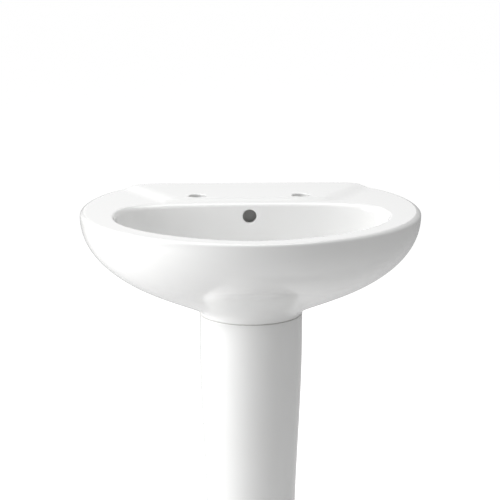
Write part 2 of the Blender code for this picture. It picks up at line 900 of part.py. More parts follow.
def waste_levels():
    """Heights of the waste's stack below the basin, from the boss down."""
    seal = BOSS_FOOT - GAP
    washer = seal - SEAL_HEIGHT - GAP
    backnut = washer - SLIP_THICK - GAP
    return {"seal": seal, "washer": washer, "backnut_foot": backnut - BACKNUT_HEIGHT}


def build_waste():
    floor = FLOOR_OF_BOWL
    at = (0, WASTE_Y, 0)
    seal_top = floor - RECESS_DEPTH + GAP + 0.002
    flange_low, flange_high = seal_top + GAP, floor + 0.0008
    turned(
        "waste_top_seal",
        ring_profile(WASTE_HOLE_R + 0.0005, WASTE_FLANGE_R - 0.001, floor - RECESS_DEPTH + GAP, seal_top),
        rubber(),
        at,
    )
    body = turned(
        "waste_body",
        [
            (WASTE_BORE_R, TAIL_END),
            (WASTE_TAIL_R, TAIL_END),
            (WASTE_TAIL_R, flange_low),
            (WASTE_FLANGE_R, flange_low),
            (WASTE_FLANGE_R, flange_high - 0.0012),
            (WASTE_FLANGE_R - 0.0025, flange_high),
            (PLUG_R + 0.0005, flange_high),
            (WASTE_BORE_R + 0.0015, flange_high - 0.0020),
            (WASTE_BORE_R, flange_high - 0.0040),
        ],
        chrome(),
        at,
    )
    bridge_high = floor - BRIDGE_DROP
    bridge_low = bridge_high - BRIDGE_THICK
    bar = WASTE_BORE_R + 0.001
    for name, half_x, half_y in (("bridge_x", bar, 0.003), ("bridge_y", 0.003, bar)):
        arm = box(name, (-half_x, WASTE_Y - half_y, bridge_low), (half_x, WASTE_Y + half_y, bridge_high))
        boolean(body, arm, "UNION")
    hub = upright_drill("bridge_hub", HUB_R, 0, WASTE_Y, bridge_low - 0.001, bridge_high + 0.0005, 20)
    boolean(body, hub, "UNION")
    low, high = bridge_low - PAST, bridge_high + PAST
    boolean(body, upright_drill("bridge_thread", CARTRIDGE_SCREW_R + GAP, 0, WASTE_Y, low, high, 16))
    slot_z = BOSS_FOOT + SLOT_RISE
    through = WASTE_TAIL_R + PAST
    for name, half_x, half_y in (("slot_y", SLOT_HALF_WIDTH, through), ("slot_x", through, SLOT_HALF_WIDTH)):
        low = (-half_x, WASTE_Y - half_y, slot_z - SLOT_HALF_HEIGHT)
        high = (half_x, WASTE_Y + half_y, slot_z + SLOT_HALF_HEIGHT)
        boolean(body, box(name, low, high))

    level = waste_levels()
    hole = WASTE_TAIL_R + GAP
    turned(
        "waste_bottom_seal",
        [
            (hole, level["seal"] - SEAL_HEIGHT),
            (UNDER_R, level["seal"] - SEAL_HEIGHT),
            (UNDER_R, level["seal"] - SEAL_HEIGHT / 2),
            (UNDER_R - 0.004, level["seal"]),
            (hole, level["seal"]),
        ],
        rubber(),
        at,
    )
    turned(
        "waste_slip_washer",
        ring_profile(hole, UNDER_R, level["washer"] - SLIP_THICK, level["washer"]),
        white_plastic(),
        at,
    )
    brass = finish_of("brass", (0.70, 0.52, 0.25), 0.3, 1.0)
    foot = (0, WASTE_Y, level["backnut_foot"])
    nut("waste_backnut", BACKNUT_FLATS, hole, BACKNUT_HEIGHT, brass, foot)
    return bridge_high


def build_plug(bridge_high):
    """The sprung plug, in its raised position, with the cartridge that it presses into."""
    at = (0, WASTE_Y, 0)
    dish = FLOOR_OF_BOWL + 0.0008
    seal_low = dish - PLUG_SEAT + PLUG_TRAVEL
    seal_high = seal_low + 0.0025
    cap_low = seal_high + GAP
    cap_high = cap_low + PLUG_THICK
    turned(
        "plug_seal",
        ring_profile(PLUNGER_R + 0.0035, PLUG_R - 0.0035, seal_low, seal_high),
        rubber(),
        at,
    )
    turned(
        "plug_cap",
        [
            (0, cap_high + 0.0022),
            (PLUG_R * 0.35, cap_high + 0.0019),
            (PLUG_R * 0.70, cap_high + 0.0010),
            (PLUG_R - 0.0012, cap_high - 0.0004),
            (PLUG_R, cap_high - 0.0018),
            (PLUG_R - 0.0006, cap_low + 0.0002),
            (PLUG_R - 0.0016, cap_low),
            (PLUNGER_R + 0.0025, cap_low),
            (PLUNGER_R + 0.0025, seal_low),
            (0, seal_low),
        ],
        chrome(),
        at,
    )
    sleeve_low = bridge_high + 0.0008
    sleeve_high = sleeve_low + CARTRIDGE_LENGTH
    base = 0.003
    turned(
        "plug_cartridge",
        [
            (0, sleeve_low - 0.012),
            (CARTRIDGE_SCREW_R, sleeve_low - 0.012),
            (CARTRIDGE_SCREW_R, sleeve_low),
            (CARTRIDGE_R, sleeve_low),
            (CARTRIDGE_R, sleeve_high),
            (CARTRIDGE_BORE_R, sleeve_high),
            (CARTRIDGE_BORE_R, sleeve_low + base),
            (0, sleeve_low + base),
        ],
        white_plastic(),
        at,
        sides=AROUND_SMALL,
    )
    collar = 0.002
    turned(
        "cartridge_collar",
        ring_profile(PLUNGER_R + GAP, CARTRIDGE_R, sleeve_high + GAP, sleeve_high + GAP + collar),
        white_plastic(),
        at,
        sides=AROUND_SMALL,
    )
    piston_high = sleeve_high - GAP
    piston_low = piston_high - 0.004
    turned(
        "plug_plunger",
        [
            (0, piston_low),
            (CARTRIDGE_BORE_R - GAP, piston_low),
            (CARTRIDGE_BORE_R - GAP, piston_high),
            (PLUNGER_R, piston_high),
            (PLUNGER_R, seal_low - GAP),
            (0, seal_low - GAP),
        ],
        zinc(),
        at,
        sides=AROUND_SMALL,
    )
    coil_spring(
        "plug_spring",
        CARTRIDGE_BORE_R - SPRING_WIRE_R - 2 * GAP,
        sleeve_low + base + SPRING_WIRE_R + GAP,
        piston_low - SPRING_WIRE_R - GAP,
    )


def coil_spring(name, radius, low, high):
    """A compression spring on the waste's axis, as a round wire along a helix."""
    per_turn = 12
    count = SPRING_TURNS * per_turn
    curve = bpy.data.curves.new(name, "CURVE")
    curve.dimensions = "3D"
    curve.bevel_depth = SPRING_WIRE_R
    curve.bevel_resolution = 1
    curve.use_fill_caps = True
    spline = curve.splines.new("POLY")
    spline.points.add(count)
    for i in range(count + 1):
        angle = 2 * math.pi * i / per_turn
        z = mix(low, high, i / count)
        spline.points[i].co = (radius * math.cos(angle), WASTE_Y + radius * math.sin(angle), z, 1)
    obj = bpy.data.objects.new(name, curve)
    curve.materials.append(zinc())
    bpy.context.scene.collection.objects.link(obj)
    return obj


# ---------------------------------------------------------------- trap


def trap_levels():
    """Heights of the trap, from the waste's tail down."""
    washer_high = TAIL_END - GAP
    washer_low = washer_high - 0.003
    flange_high = washer_low - GAP
    flange_low = flange_high - 0.003
    head_high = flange_low - INLET_TAIL
    outlet_room = PIPE_R + OUTLET_WALL + OUTLET_MARGIN
    head_low = head_high - 2 * outlet_room - CUP_NECK
    return {
        "washer_high": washer_high,
        "washer_low": washer_low,
        "flange_high": flange_high,
        "flange_low": flange_low,
        "head_high": head_high,
        "head_low": head_low,
        "outlet": head_high - outlet_room,
        "cup_high": head_low + CUP_NECK,
        "cup_low": head_low + CUP_NECK - CUP_HEIGHT,
    }


def build_trap():
    level = trap_levels()
    at = (0, WASTE_Y, 0)
    tail = WASTE_TAIL_R
    turned(
        "trap_inlet_washer",
        ring_profile(PIPE_R - PIPE_WALL, tail - 0.001, level["washer_low"], level["washer_high"]),
        rubber(),
        at,
    )
    lip = 0.004
    nut_foot = level["flange_low"] - GAP - lip
    ribbed_nut(
        "trap_inlet_nut",
        tail + 0.005,
        tail + GAP,
        0.028,
        8,
        white_plastic(),
        (0, WASTE_Y, nut_foot),
        lip=(PIPE_R + GAP, lip),
    )
    bore, tube = PIPE_R - PIPE_WALL, PIPE_R
    dip_end = level["cup_low"] + DIP_CLEARANCE
    head_inner = TRAP_R - TRAP_WALL
    head = turned(
        "trap_head",
        [
            (bore, level["flange_high"]),
            (tail - 0.001, level["flange_high"]),
            (tail - 0.001, level["flange_low"]),
            (tube, level["flange_low"]),
            (tube, level["head_high"]),
            (TRAP_R - 0.006, level["head_high"]),
            (TRAP_R, level["head_high"] - 0.006),
            (TRAP_R, level["head_low"]),
            (head_inner, level["head_low"]),
            (head_inner, level["head_high"] - 0.007),
            (head_inner - 0.004, level["head_high"] - TRAP_WALL),
            (tube, level["head_high"] - TRAP_WALL),
            (tube, dip_end),
            (bore, dip_end),
        ],
        white_plastic(),
        at,
    )
    outlet = level["outlet"]
    spigot_end = WASTE_Y + TRAP_R + 0.024
    start = WASTE_Y + TRAP_R - 0.004
    spigot = drill("trap_spigot", PIPE_R + OUTLET_WALL, (0, start, outlet), (0, spigot_end, outlet))
    boolean(head, spigot, "UNION")
    start = WASTE_Y + tube + 0.003
    boolean(head, drill("trap_passage", bore, (0, start, outlet), (0, spigot_end + 0.01, outlet)))
    start = spigot_end - SOCKET_DEPTH
    boolean(head, drill("trap_socket", PIPE_R + GAP, (0, start, outlet), (0, spigot_end + 0.01, outlet)))

    seal_low = level["head_low"] - GAP - 0.0025
    neck_r = head_inner - GAP
    shoulder = seal_low - GAP
    turned(
        "trap_cup_seal",
        ring_profile(neck_r + GAP, TRAP_R, seal_low, seal_low + 0.0025),
        rubber(),
        at,
    )
    wall = 0.0026
    low = level["cup_low"]
    high = level["cup_high"]
    turned(
        "trap_cup",
        [
            (0, low),
            (TRAP_R * 0.45, low),
            (TRAP_R * 0.72, low + 0.006),
            (TRAP_R * 0.84, low + 0.018),
            (TRAP_R * 0.86, shoulder - 0.016),
            (TRAP_R, shoulder - 0.012),
            (TRAP_R, shoulder),
            (neck_r, shoulder),
            (neck_r, high),
            (neck_r - wall, high),
            (neck_r - wall, shoulder - 0.006),
            (TRAP_R * 0.86 - wall, shoulder - 0.016),
            (TRAP_R * 0.84 - wall, low + 0.018),
            (TRAP_R * 0.68, low + 0.008),
            (TRAP_R * 0.42, low + wall),
            (0, low + wall),
        ],
        white_plastic(),
        at,
    )
    build_outlet(outlet, spigot_end)


def build_outlet(outlet, spigot_end):
    """The pipe from the trap to the wall, with the nut and seal that hold it, and a wall collar."""
    seal_thick = 0.004
    turned(
        "trap_outlet_seal",
        ring_profile(PIPE_R + GAP, PIPE_R + OUTLET_WALL, spigot_end + GAP, spigot_end + GAP + seal_thick),
        rubber(),
        (0, 0, outlet),
        along_y=True,
    )
    nut_length = 0.022
    nut_end = spigot_end + GAP * 2 + seal_thick + 0.003
    closing = ribbed_nut(
        "trap_outlet_nut",
        PIPE_R + OUTLET_WALL + 0.0045,
        PIPE_R + OUTLET_WALL + 0.0005,
        nut_length,
        8,
        white_plastic(),
        (0, nut_end, outlet),
        lip=(PIPE_R + GAP, 0.003),
    )
    # Turned about, so that the inward lip holds the seal from the wall side.
    closing.rotation_euler = (math.pi / 2, 0, 0)
    end = WALL_Y
    turned(
        "waste_pipe",
        ring_profile(PIPE_R - PIPE_WALL, PIPE_R, spigot_end - SOCKET_DEPTH + 2 * GAP, end),
        white_plastic(),
        (0, 0, outlet),
        along_y=True,
    )
    collar = 0.006
    turned(
        "wall_collar",
        [
            (PIPE_R + GAP, end - collar * 2),
            (PIPE_R + 0.003, end - collar * 2),
            (PIPE_R + 0.008, end - collar),
            (PIPE_R + 0.018, end - 0.002),
            (PIPE_R + 0.018, end),
            (PIPE_R + GAP, end),
        ],
        white_plastic(),
        (0, 0, outlet),
        along_y=True,
    )


# ---------------------------------------------------------------- the whole sink


def main():
    clear_scene()
    build_basin()
    build_pedestal()
    build_pedestal_seal()
    build_wall_fixings()
    build_floor_fixings()
    build_plug(build_waste())
    build_trap()


main()
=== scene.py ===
# %% [markdown]
# # A pedestal sink
# A white china basin on a white china pedestal, with the parts that make it work: a press plug and
# its waste in the bowl's floor, a bottle trap behind the pedestal, a pipe to the wall, and the
# studs and screws that hold the china. The CAD model gives every place and every motion. This
# lesson makes the fine shapes and the finishes round it, one piece at a time.

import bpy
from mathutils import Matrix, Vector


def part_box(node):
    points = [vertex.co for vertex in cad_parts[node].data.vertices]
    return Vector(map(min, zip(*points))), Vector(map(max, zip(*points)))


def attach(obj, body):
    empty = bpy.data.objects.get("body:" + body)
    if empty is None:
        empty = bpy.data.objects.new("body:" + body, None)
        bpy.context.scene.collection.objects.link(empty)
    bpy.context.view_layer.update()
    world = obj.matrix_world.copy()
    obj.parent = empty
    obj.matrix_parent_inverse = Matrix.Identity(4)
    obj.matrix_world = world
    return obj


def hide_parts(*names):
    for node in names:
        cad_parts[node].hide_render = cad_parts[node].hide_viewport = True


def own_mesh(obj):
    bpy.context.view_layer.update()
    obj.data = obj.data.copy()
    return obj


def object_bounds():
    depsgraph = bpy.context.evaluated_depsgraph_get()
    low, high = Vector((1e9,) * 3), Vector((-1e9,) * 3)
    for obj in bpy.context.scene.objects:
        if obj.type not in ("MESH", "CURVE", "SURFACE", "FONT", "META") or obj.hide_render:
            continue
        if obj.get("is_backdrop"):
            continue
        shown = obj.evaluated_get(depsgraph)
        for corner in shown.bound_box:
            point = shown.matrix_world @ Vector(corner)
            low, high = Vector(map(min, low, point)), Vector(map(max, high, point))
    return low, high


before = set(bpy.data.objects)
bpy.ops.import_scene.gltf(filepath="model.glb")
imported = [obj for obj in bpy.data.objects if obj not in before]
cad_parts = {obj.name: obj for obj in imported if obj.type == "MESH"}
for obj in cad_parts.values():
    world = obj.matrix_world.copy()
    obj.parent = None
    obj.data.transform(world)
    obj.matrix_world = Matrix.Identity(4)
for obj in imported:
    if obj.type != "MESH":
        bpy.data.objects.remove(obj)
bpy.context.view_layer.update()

# %% [markdown]
# The lesson also needs math, so the modules are imported here once more.

# %% Import the modules
import math

import bpy
from mathutils import Matrix, Vector

# %% [markdown]
# ## Helpers for modelling
# Operators act on whatever is selected, so each piece starts by deselecting everything. Most
# pieces of a waste and a trap are turned on a lathe or moulded round, so one helper draws an
# outline with extrude and spins it. The china has no straight line in it, so another helper
# wraps a grid over the points of a formula.

# %% Select, apply and clean up
TINY = 1e-6  # merge distance


def deselect():
    if bpy.context.mode != "OBJECT":
        bpy.ops.object.mode_set(mode="OBJECT")
    bpy.ops.object.select_all(action="DESELECT")


def pick(piece):
    deselect()
    piece.select_set(True)
    bpy.context.view_layer.objects.active = piece
    return piece


def apply_all(piece):
    """Applies the modifiers of a piece, from the top down."""
    pick(piece)
    for modifier in list(piece.modifiers):
        bpy.ops.object.modifier_apply(modifier=modifier.name)
    return piece


def close_up(piece, fill=True):
    """Merges doubled points, closes open ends and turns every face outwards."""
    pick(piece)
    bpy.ops.object.mode_set(mode="EDIT")
    bpy.ops.mesh.select_all(action="SELECT")
    bpy.ops.mesh.remove_doubles(threshold=TINY)
    if fill:
        bpy.ops.mesh.fill_holes(sides=0)
        bpy.ops.mesh.select_all(action="SELECT")
    bpy.ops.mesh.normals_make_consistent(inside=False)
    bpy.ops.object.mode_set(mode="OBJECT")
    return piece


def ease(piece, width, segments=2, angle=30):
    """Rounds every edge sharper than angle, as a mould or a file leaves it."""
    bevel = piece.modifiers.new("eased", "BEVEL")
    bevel.width = width
    bevel.segments = segments
    bevel.limit_method = "ANGLE"
    bevel.angle_limit = math.radians(angle)
    bevel.harden_normals = False
    return apply_all(piece)


def carve(piece, tool, operation="DIFFERENCE"):
    """Cuts a tool out of a piece, or joins it on. The tool's faces bring their own material."""
    modifier = piece.modifiers.new("carve", "BOOLEAN")
    modifier.operation = operation
    modifier.object = tool
    modifier.solver = "EXACT"
    modifier.material_mode = "TRANSFER"
    apply_all(piece)
    bpy.data.objects.remove(tool)
    return piece


print("helpers for selecting, applying, easing and carving are ready")

# %% [markdown]
# A turned piece starts as one point. Extrude draws its outline, a line at a time, and spin takes
# the outline once round the axis. Where the outline touches the axis the points merge to a pole.

# %% Turn an outline round an axis
ROUND = 64  # steps in a full turn


def turned(name, outline, at=(0, 0, 0), along_y=False, steps=ROUND, ring=True):
    """outline is (radius, height) points, and a ring's outline comes back to its first point."""
    deselect()
    at = Vector(at)
    points = [at + (Vector((r, h, 0)) if along_y else Vector((r, 0, h))) for r, h in outline]
    if ring:
        points.append(points[0])
    bpy.ops.mesh.primitive_plane_add(size=0.001, enter_editmode=True)
    bpy.ops.mesh.merge(type="CENTER")
    bpy.ops.transform.translate(value=points[0])
    for here, there in zip(points, points[1:]):
        bpy.ops.mesh.extrude_region_move(TRANSFORM_OT_translate={"value": there - here})
    bpy.ops.mesh.select_all(action="SELECT")
    axis = (0, 1, 0) if along_y else (0, 0, 1)
    bpy.ops.mesh.spin(steps=steps, angle=2 * math.pi, center=at, axis=axis)
    bpy.ops.object.mode_set(mode="OBJECT")
    piece = bpy.context.object
    piece.name = name
    return close_up(piece, fill=False)


def rod(name, radius, low, high, at=(0, 0, 0), along_y=False, steps=ROUND):
    outline = [(0, low), (radius, low), (radius, high), (0, high)]
    return turned(name, outline, at, along_y, steps, ring=False)


def tube_outline(bore, outer, low, high):
    return [(bore, low), (outer, low), (outer, high), (bore, high)]


print("a full turn has", ROUND, "steps")

# %% [markdown]
# A wrapped piece starts as a flat grid. Each column of the grid is laid along one section of the
# shape, the two side edges meet and are merged, and the open ends are filled.

# %% Wrap a grid over sections


def wrapped(name, sections, closed=False):
    """A skin over sections of equal length. closed joins the ends of each section too."""
    deselect()
    columns = len(sections)
    rows = len(sections[0]) - (0 if closed else 1)
    bpy.ops.mesh.primitive_grid_add(x_subdivisions=columns, y_subdivisions=rows, size=1)
    piece = bpy.context.object
    piece.name = name
    for vertex in piece.data.vertices:
        column = round((vertex.co.x + 0.5) * columns) % columns
        row = round((vertex.co.y + 0.5) * rows)
        vertex.co = sections[column][row % rows if closed else row]
    return close_up(piece, fill=not closed)


def box(name, low, high, eased=0.0, segments=3):
    """A block with eased edges."""
    deselect()
    low, high = Vector(low), Vector(high)
    bpy.ops.mesh.primitive_cube_add(size=1, location=(low + high) / 2)
    piece = bpy.context.object
    piece.name = name
    bpy.ops.transform.resize(value=high - low)
    bpy.ops.object.transform_apply(location=True, rotation=True, scale=True)
    return ease(piece, eased, segments) if eased else piece


def mix(a, b, share):
    return a + (b - a) * share


def smooth(x, low, high):
    """0 below low, 1 above high, and an S curve between. Works with low above high too."""
    t = min(1.0, max(0.0, (x - low) / (high - low)))
    return t * t * (3 - 2 * t)


def soft_min(a, b, width):
    """The smaller of two values, with the corner between them rounded over width."""
    h = max(width - abs(a - b), 0.0) / width
    return min(a, b) - h * h * width / 4


def bezier(t, *points):
    a, b, c, d = (1 - t) ** 3, 3 * t * (1 - t) ** 2, 3 * t * t * (1 - t), t**3
    return tuple(a * p + b * q + c * r + d * s for p, q, r, s in zip(*points))


def quarter(steps):
    """Angles from 0 to a right angle."""
    return [math.pi / 2 * i / steps for i in range(steps + 1)]


def bent(steps, *points):
    """A curve of so many steps, steered by four points."""
    return [bezier(i / steps, *points) for i in range(steps + 1)]


print("wrapping, blocks and curves are ready")

# %% [markdown]
# ## Finishes
# Glaze, plating, moulded plastic and rubber each vary a little all over, in tone, in gloss and in
# relief. What they share is made once, as node groups: broad patches of a value, a fine grain,
# and the faint lines that polishing leaves. The shader itself stays in each material.

# %% Node groups that the finishes share
SOCKETS = {"vector": "NodeSocketVector", "value": "NodeSocketFloat"}


def new_group(name, inputs, output):
    group = bpy.data.node_groups.new(name, "ShaderNodeTree")
    for title, kind, start in inputs:
        socket = group.interface.new_socket(title, in_out="INPUT", socket_type=SOCKETS[kind])
        if start is not None:
            socket.default_value = start
    group.interface.new_socket(output, in_out="OUTPUT", socket_type=SOCKETS["value"])
    return group, group.nodes.new("NodeGroupInput"), group.nodes.new("NodeGroupOutput")


def noise_node(tree, detail, roughness):
    node = tree.nodes.new("ShaderNodeTexNoise")
    node.inputs["Detail"].default_value = detail
    node.inputs["Roughness"].default_value = roughness
    return node


def make_spread(name, scale, detail, roughness, limits, stretch=None):
    """Noise whose values between two limits are spread from a low to a high value."""
    inputs = (
        ("Place", "vector", None), ("Scale", "value", scale),
        ("Low", "value", 0.0), ("High", "value", 1.0),
    )
    group, given, made = new_group(name, inputs, "Value")
    link = group.links.new
    place = given.outputs["Place"]
    if stretch:
        mapping = group.nodes.new("ShaderNodeMapping")
        mapping.inputs["Scale"].default_value = stretch
        link(place, mapping.inputs["Vector"])
        place = mapping.outputs["Vector"]
    noise = noise_node(group, detail, roughness)
    spread = group.nodes.new("ShaderNodeMapRange")
    for title, limit in zip(("From Min", "From Max"), limits):
        spread.inputs[title].default_value = limit
    link(place, noise.inputs["Vector"])
    link(given.outputs["Scale"], noise.inputs["Scale"])
    link(noise.outputs["Fac"], spread.inputs["Value"])
    link(given.outputs["Low"], spread.inputs["To Min"])
    link(given.outputs["High"], spread.inputs["To Max"])
    link(spread.outputs["Result"], made.inputs["Value"])
    return group


def make_grain():
    """Two sizes of grain added together, for relief."""
    inputs = (
        ("Place", "vector", None), ("Scale", "value", 400.0), ("Coarse Share", "value", 0.5),
    )
    group, given, made = new_group("two_grains", inputs, "Height")
    fine, coarse = noise_node(group, 2.0, 0.5), noise_node(group, 1.0, 0.5)
    slower = group.nodes.new("ShaderNodeMath")
    slower.operation = "MULTIPLY"
    slower.inputs[1].default_value = 0.16
    blend = group.nodes.new("ShaderNodeMix")
    link = group.links.new
    link(given.outputs["Place"], fine.inputs["Vector"])
    link(given.outputs["Place"], coarse.inputs["Vector"])
    link(given.outputs["Scale"], fine.inputs["Scale"])
    link(given.outputs["Scale"], slower.inputs[0])
    link(slower.outputs["Value"], coarse.inputs["Scale"])
    link(given.outputs["Coarse Share"], blend.inputs["Factor"])
    link(fine.outputs["Fac"], blend.inputs["A"])
    link(coarse.outputs["Fac"], blend.inputs["B"])
    link(blend.outputs["Result"], made.inputs["Height"])
    return group


PATCHES = make_spread("soft_patches", 8.0, 3.0, 0.55, (0.32, 0.68))
GRAIN = make_grain()
# Faint lines round the Z axis, as turning and polishing leave them.
POLISH_LINES = make_spread("polish_lines", 60.0, 4.0, 0.6, (0.35, 0.65), stretch=(1.0, 1.0, 40.0))
print("node groups", [group.name for group in (PATCHES, GRAIN, POLISH_LINES)])

# %% [markdown]
# Every finish is built the same way: two close tones mixed in patches, a gloss that varies, and
# a grain that lifts the surface by a fraction of a millimetre. What never changes over the
# surface, such as the metal's Metallic or the coat's roughness, is set on the shader's socket.

# %% Put a finish together


def place_group(tree, group, **values):
    node = tree.nodes.new("ShaderNodeGroup")
    node.node_tree = group
    for title, value in values.items():
        node.inputs[title.replace("_", " ")].default_value = value
    tree.links.new(tree.nodes["place"].outputs["Object"], node.inputs["Place"])
    return node


def start_finish(name, **constants):
    """A material with Object coordinates ready, and constants on the shader's own sockets."""
    made = bpy.data.materials.new(name)
    made.use_nodes = True
    tree = made.node_tree
    tree.nodes.new("ShaderNodeTexCoord").name = "place"
    shader = tree.nodes["Principled BSDF"]
    for title, value in constants.items():
        shader.inputs[title.replace("_", " ")].default_value = value
    return made, tree, shader


def mix_tones(tree, shader, first, second, share):
    """Base Color between two tones, by a value that changes over the surface."""
    tones = tree.nodes.new("ShaderNodeMix")
    tones.data_type = "RGBA"
    tones.inputs["A"].default_value = (*first, 1)
    tones.inputs["B"].default_value = (*second, 1)
    tree.links.new(share, tones.inputs["Factor"])
    tree.links.new(tones.outputs["Result"], shader.inputs["Base Color"])
    return tones


def raise_relief(tree, shader, height, depth, under=None):
    """A Bump node. depth is in metres, and under is a broader relief that this one lies on."""
    bump = tree.nodes.new("ShaderNodeBump")
    bump.inputs["Strength"].default_value = 1.0
    bump.inputs["Distance"].default_value = depth
    tree.links.new(height, bump.inputs["Height"])
    if under:
        tree.links.new(under.outputs["Normal"], bump.inputs["Normal"])
    tree.links.new(bump.outputs["Normal"], shader.inputs["Normal"])
    return bump


def plain_finish(name, first, second, patch, gloss, grain, depth, lines=None, **constants):
    """A finish of two tones in patches, a gloss from low to high, and a grain of some depth."""
    made, tree, shader = start_finish(name, **constants)
    share = place_group(tree, PATCHES, Scale=patch)
    mix_tones(tree, shader, first, second, share.outputs["Value"])
    rough = place_group(tree, lines or PATCHES, Scale=patch * 3, Low=gloss[0], High=gloss[1])
    tree.links.new(rough.outputs["Value"], shader.inputs["Roughness"])
    height = place_group(tree, GRAIN, Scale=grain)
    raise_relief(tree, shader, height.outputs["Height"], depth)
    return made


print("finishes take two tones, a patch size, a gloss range, a grain and its depth")

# %% [markdown]
# ### Glazed china
# Glaze is a thin glass coat on a white body. It is very smooth, but it was once liquid, so it has
# slow waves that bend a reflection, and a few specks of iron and pinholes from the firing. The
# waves are a broad relief of a few hundredths of a millimetre, and the specks are the cores of a
# sparse cell pattern.

# %% Glazed china and the bare body under it
SPECK = 0.035  # radius of a speck, as a share of its cell


def make_glaze(name, light, dark, rough, coat):
    made, tree, shader = start_finish(name, IOR=1.52, Coat_Roughness=0.03, Coat_IOR=1.5)
    shader.inputs["Coat Weight"].default_value = coat
    share = place_group(tree, PATCHES, Scale=5.0)
    tones = mix_tones(tree, shader, light, dark, share.outputs["Value"])
    cells = tree.nodes.new("ShaderNodeTexVoronoi")
    cells.inputs["Scale"].default_value = 45.0
    tree.links.new(tree.nodes["place"].outputs["Object"], cells.inputs["Vector"])
    core = tree.nodes.new("ShaderNodeMapRange")
    core.inputs["From Min"].default_value = SPECK
    core.inputs["From Max"].default_value = SPECK * 0.4
    tree.links.new(cells.outputs["Distance"], core.inputs["Value"])
    rare = place_group(tree, PATCHES, Scale=60.0, Low=-2.2, High=1.0)
    few = tree.nodes.new("ShaderNodeMath")
    few.operation = "MULTIPLY"
    few.use_clamp = True
    tree.links.new(core.outputs["Result"], few.inputs[0])
    tree.links.new(rare.outputs["Value"], few.inputs[1])
    specks = tree.nodes.new("ShaderNodeMix")
    specks.data_type = "RGBA"
    specks.inputs["B"].default_value = (0.45, 0.41, 0.36, 1)
    tree.links.new(few.outputs["Value"], specks.inputs["Factor"])
    tree.links.new(tones.outputs["Result"], specks.inputs["A"])
    tree.links.new(specks.outputs["Result"], shader.inputs["Base Color"])
    gloss = place_group(tree, PATCHES, Scale=14.0, Low=rough[0], High=rough[1])
    tree.links.new(gloss.outputs["Value"], shader.inputs["Roughness"])
    waves = place_group(tree, PATCHES, Scale=22.0)
    broad = raise_relief(tree, shader, waves.outputs["Value"], 0.00003)
    peel = place_group(tree, GRAIN, Scale=260.0, Coarse_Share=0.7)
    raise_relief(tree, shader, peel.outputs["Height"], 0.000012, under=broad)
    return made


glazed = make_glaze("glazed_china", (0.86, 0.862, 0.858), (0.845, 0.846, 0.838), (0.05, 0.11), 0.5)
thin_glaze = make_glaze("thin_glaze", (0.80, 0.795, 0.775), (0.74, 0.73, 0.70), (0.22, 0.42), 0.1)
# The passage's glaze is painted grey: painted shade for the dark inside of the closed passage,
# whose real glaze is white.
painted_passage_shade = make_glaze("passage_painted_shade", (0.52, 0.52, 0.51), (0.45, 0.45, 0.44), (0.30, 0.50), 0.1)
bare = plain_finish(
    "bare_china", (0.78, 0.75, 0.70), (0.70, 0.66, 0.60), 30.0, (0.80, 0.95), 900.0, 0.00008
)
print("china finishes", glazed.name, thin_glaze.name, painted_passage_shade.name, bare.name)

# %% [markdown]
# ### Metals, plastics and rubbers
# Chrome is nearly a mirror, with faint polishing lines. Zinc plate is duller and cloudy. Brass for
# a hidden nut is turned and left raw. Trap plastic is moulded polypropylene: satin, slightly
# mottled, with a fine spark grain. Rubber is dark and dry, and the strip of foam has open cells.

# %% The other finishes
chrome = plain_finish(
    "polished_chrome", (0.80, 0.81, 0.82), (0.76, 0.77, 0.79), 25.0, (0.04, 0.11), 300.0, 0.000006,
    lines=POLISH_LINES, Metallic=1.0,
)
zinc = plain_finish(
    "zinc_plate", (0.66, 0.67, 0.68), (0.50, 0.52, 0.53), 160.0, (0.26, 0.48), 1100.0, 0.00002,
    Metallic=1.0,
)
brass = plain_finish(
    "turned_brass", (0.72, 0.55, 0.28), (0.60, 0.43, 0.19), 90.0, (0.22, 0.42), 700.0, 0.00002,
    lines=POLISH_LINES, Metallic=1.0,
)
plastic = plain_finish(
    "satin_plastic", (0.82, 0.82, 0.80), (0.76, 0.76, 0.735), 35.0, (0.32, 0.46), 1500.0, 0.00003,
)
nylon = plain_finish(
    "natural_nylon", (0.74, 0.73, 0.67), (0.66, 0.65, 0.58), 60.0, (0.38, 0.55), 1200.0, 0.00002,
    Subsurface_Weight=0.15, Subsurface_Scale=0.002,
)
rubber = plain_finish(
    "dry_rubber", (0.030, 0.030, 0.031), (0.055, 0.054, 0.052),
    120.0, (0.62, 0.85), 1600.0, 0.00004,
)
foam = plain_finish(
    "soft_strip", (0.80, 0.80, 0.79), (0.72, 0.72, 0.705), 200.0, (0.80, 0.95), 1400.0, 0.00012,
)
print("finishes made:", len(bpy.data.materials))

# %% [markdown]
# Each finished piece is smoothed up to a crease angle, rides on a body of the CAD model, and
# stands for one or more CAD nodes.

# %% Finish a piece and let it ride
CREASE = 32  # degrees


def finished(piece, name, material, body, slot, *nodes, crease=CREASE):
    piece.name = name
    piece.data.name = name
    if not piece.data.materials:
        piece.data.materials.append(material)
    pick(piece)
    bpy.ops.object.shade_smooth_by_angle(angle=math.radians(crease))
    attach(piece, body)
    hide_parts(*nodes)
    print(name, len(piece.data.polygons), "faces, for", ", ".join(nodes))
    return piece


# %% [markdown]
# ## The basin
# The real basin is one slip casting: liquid clay set in a plaster mould, so all its walls are
# about as thick as each other and every edge is soft. Boxes and bevels can't give that. Instead
# the skin is described by its sections. Spokes run out from the bowl's centre, and each spoke has
# one section that goes up the inside of the bowl, over its lip, across the deck, round the rim
# and down the outside to the foot of the neck.

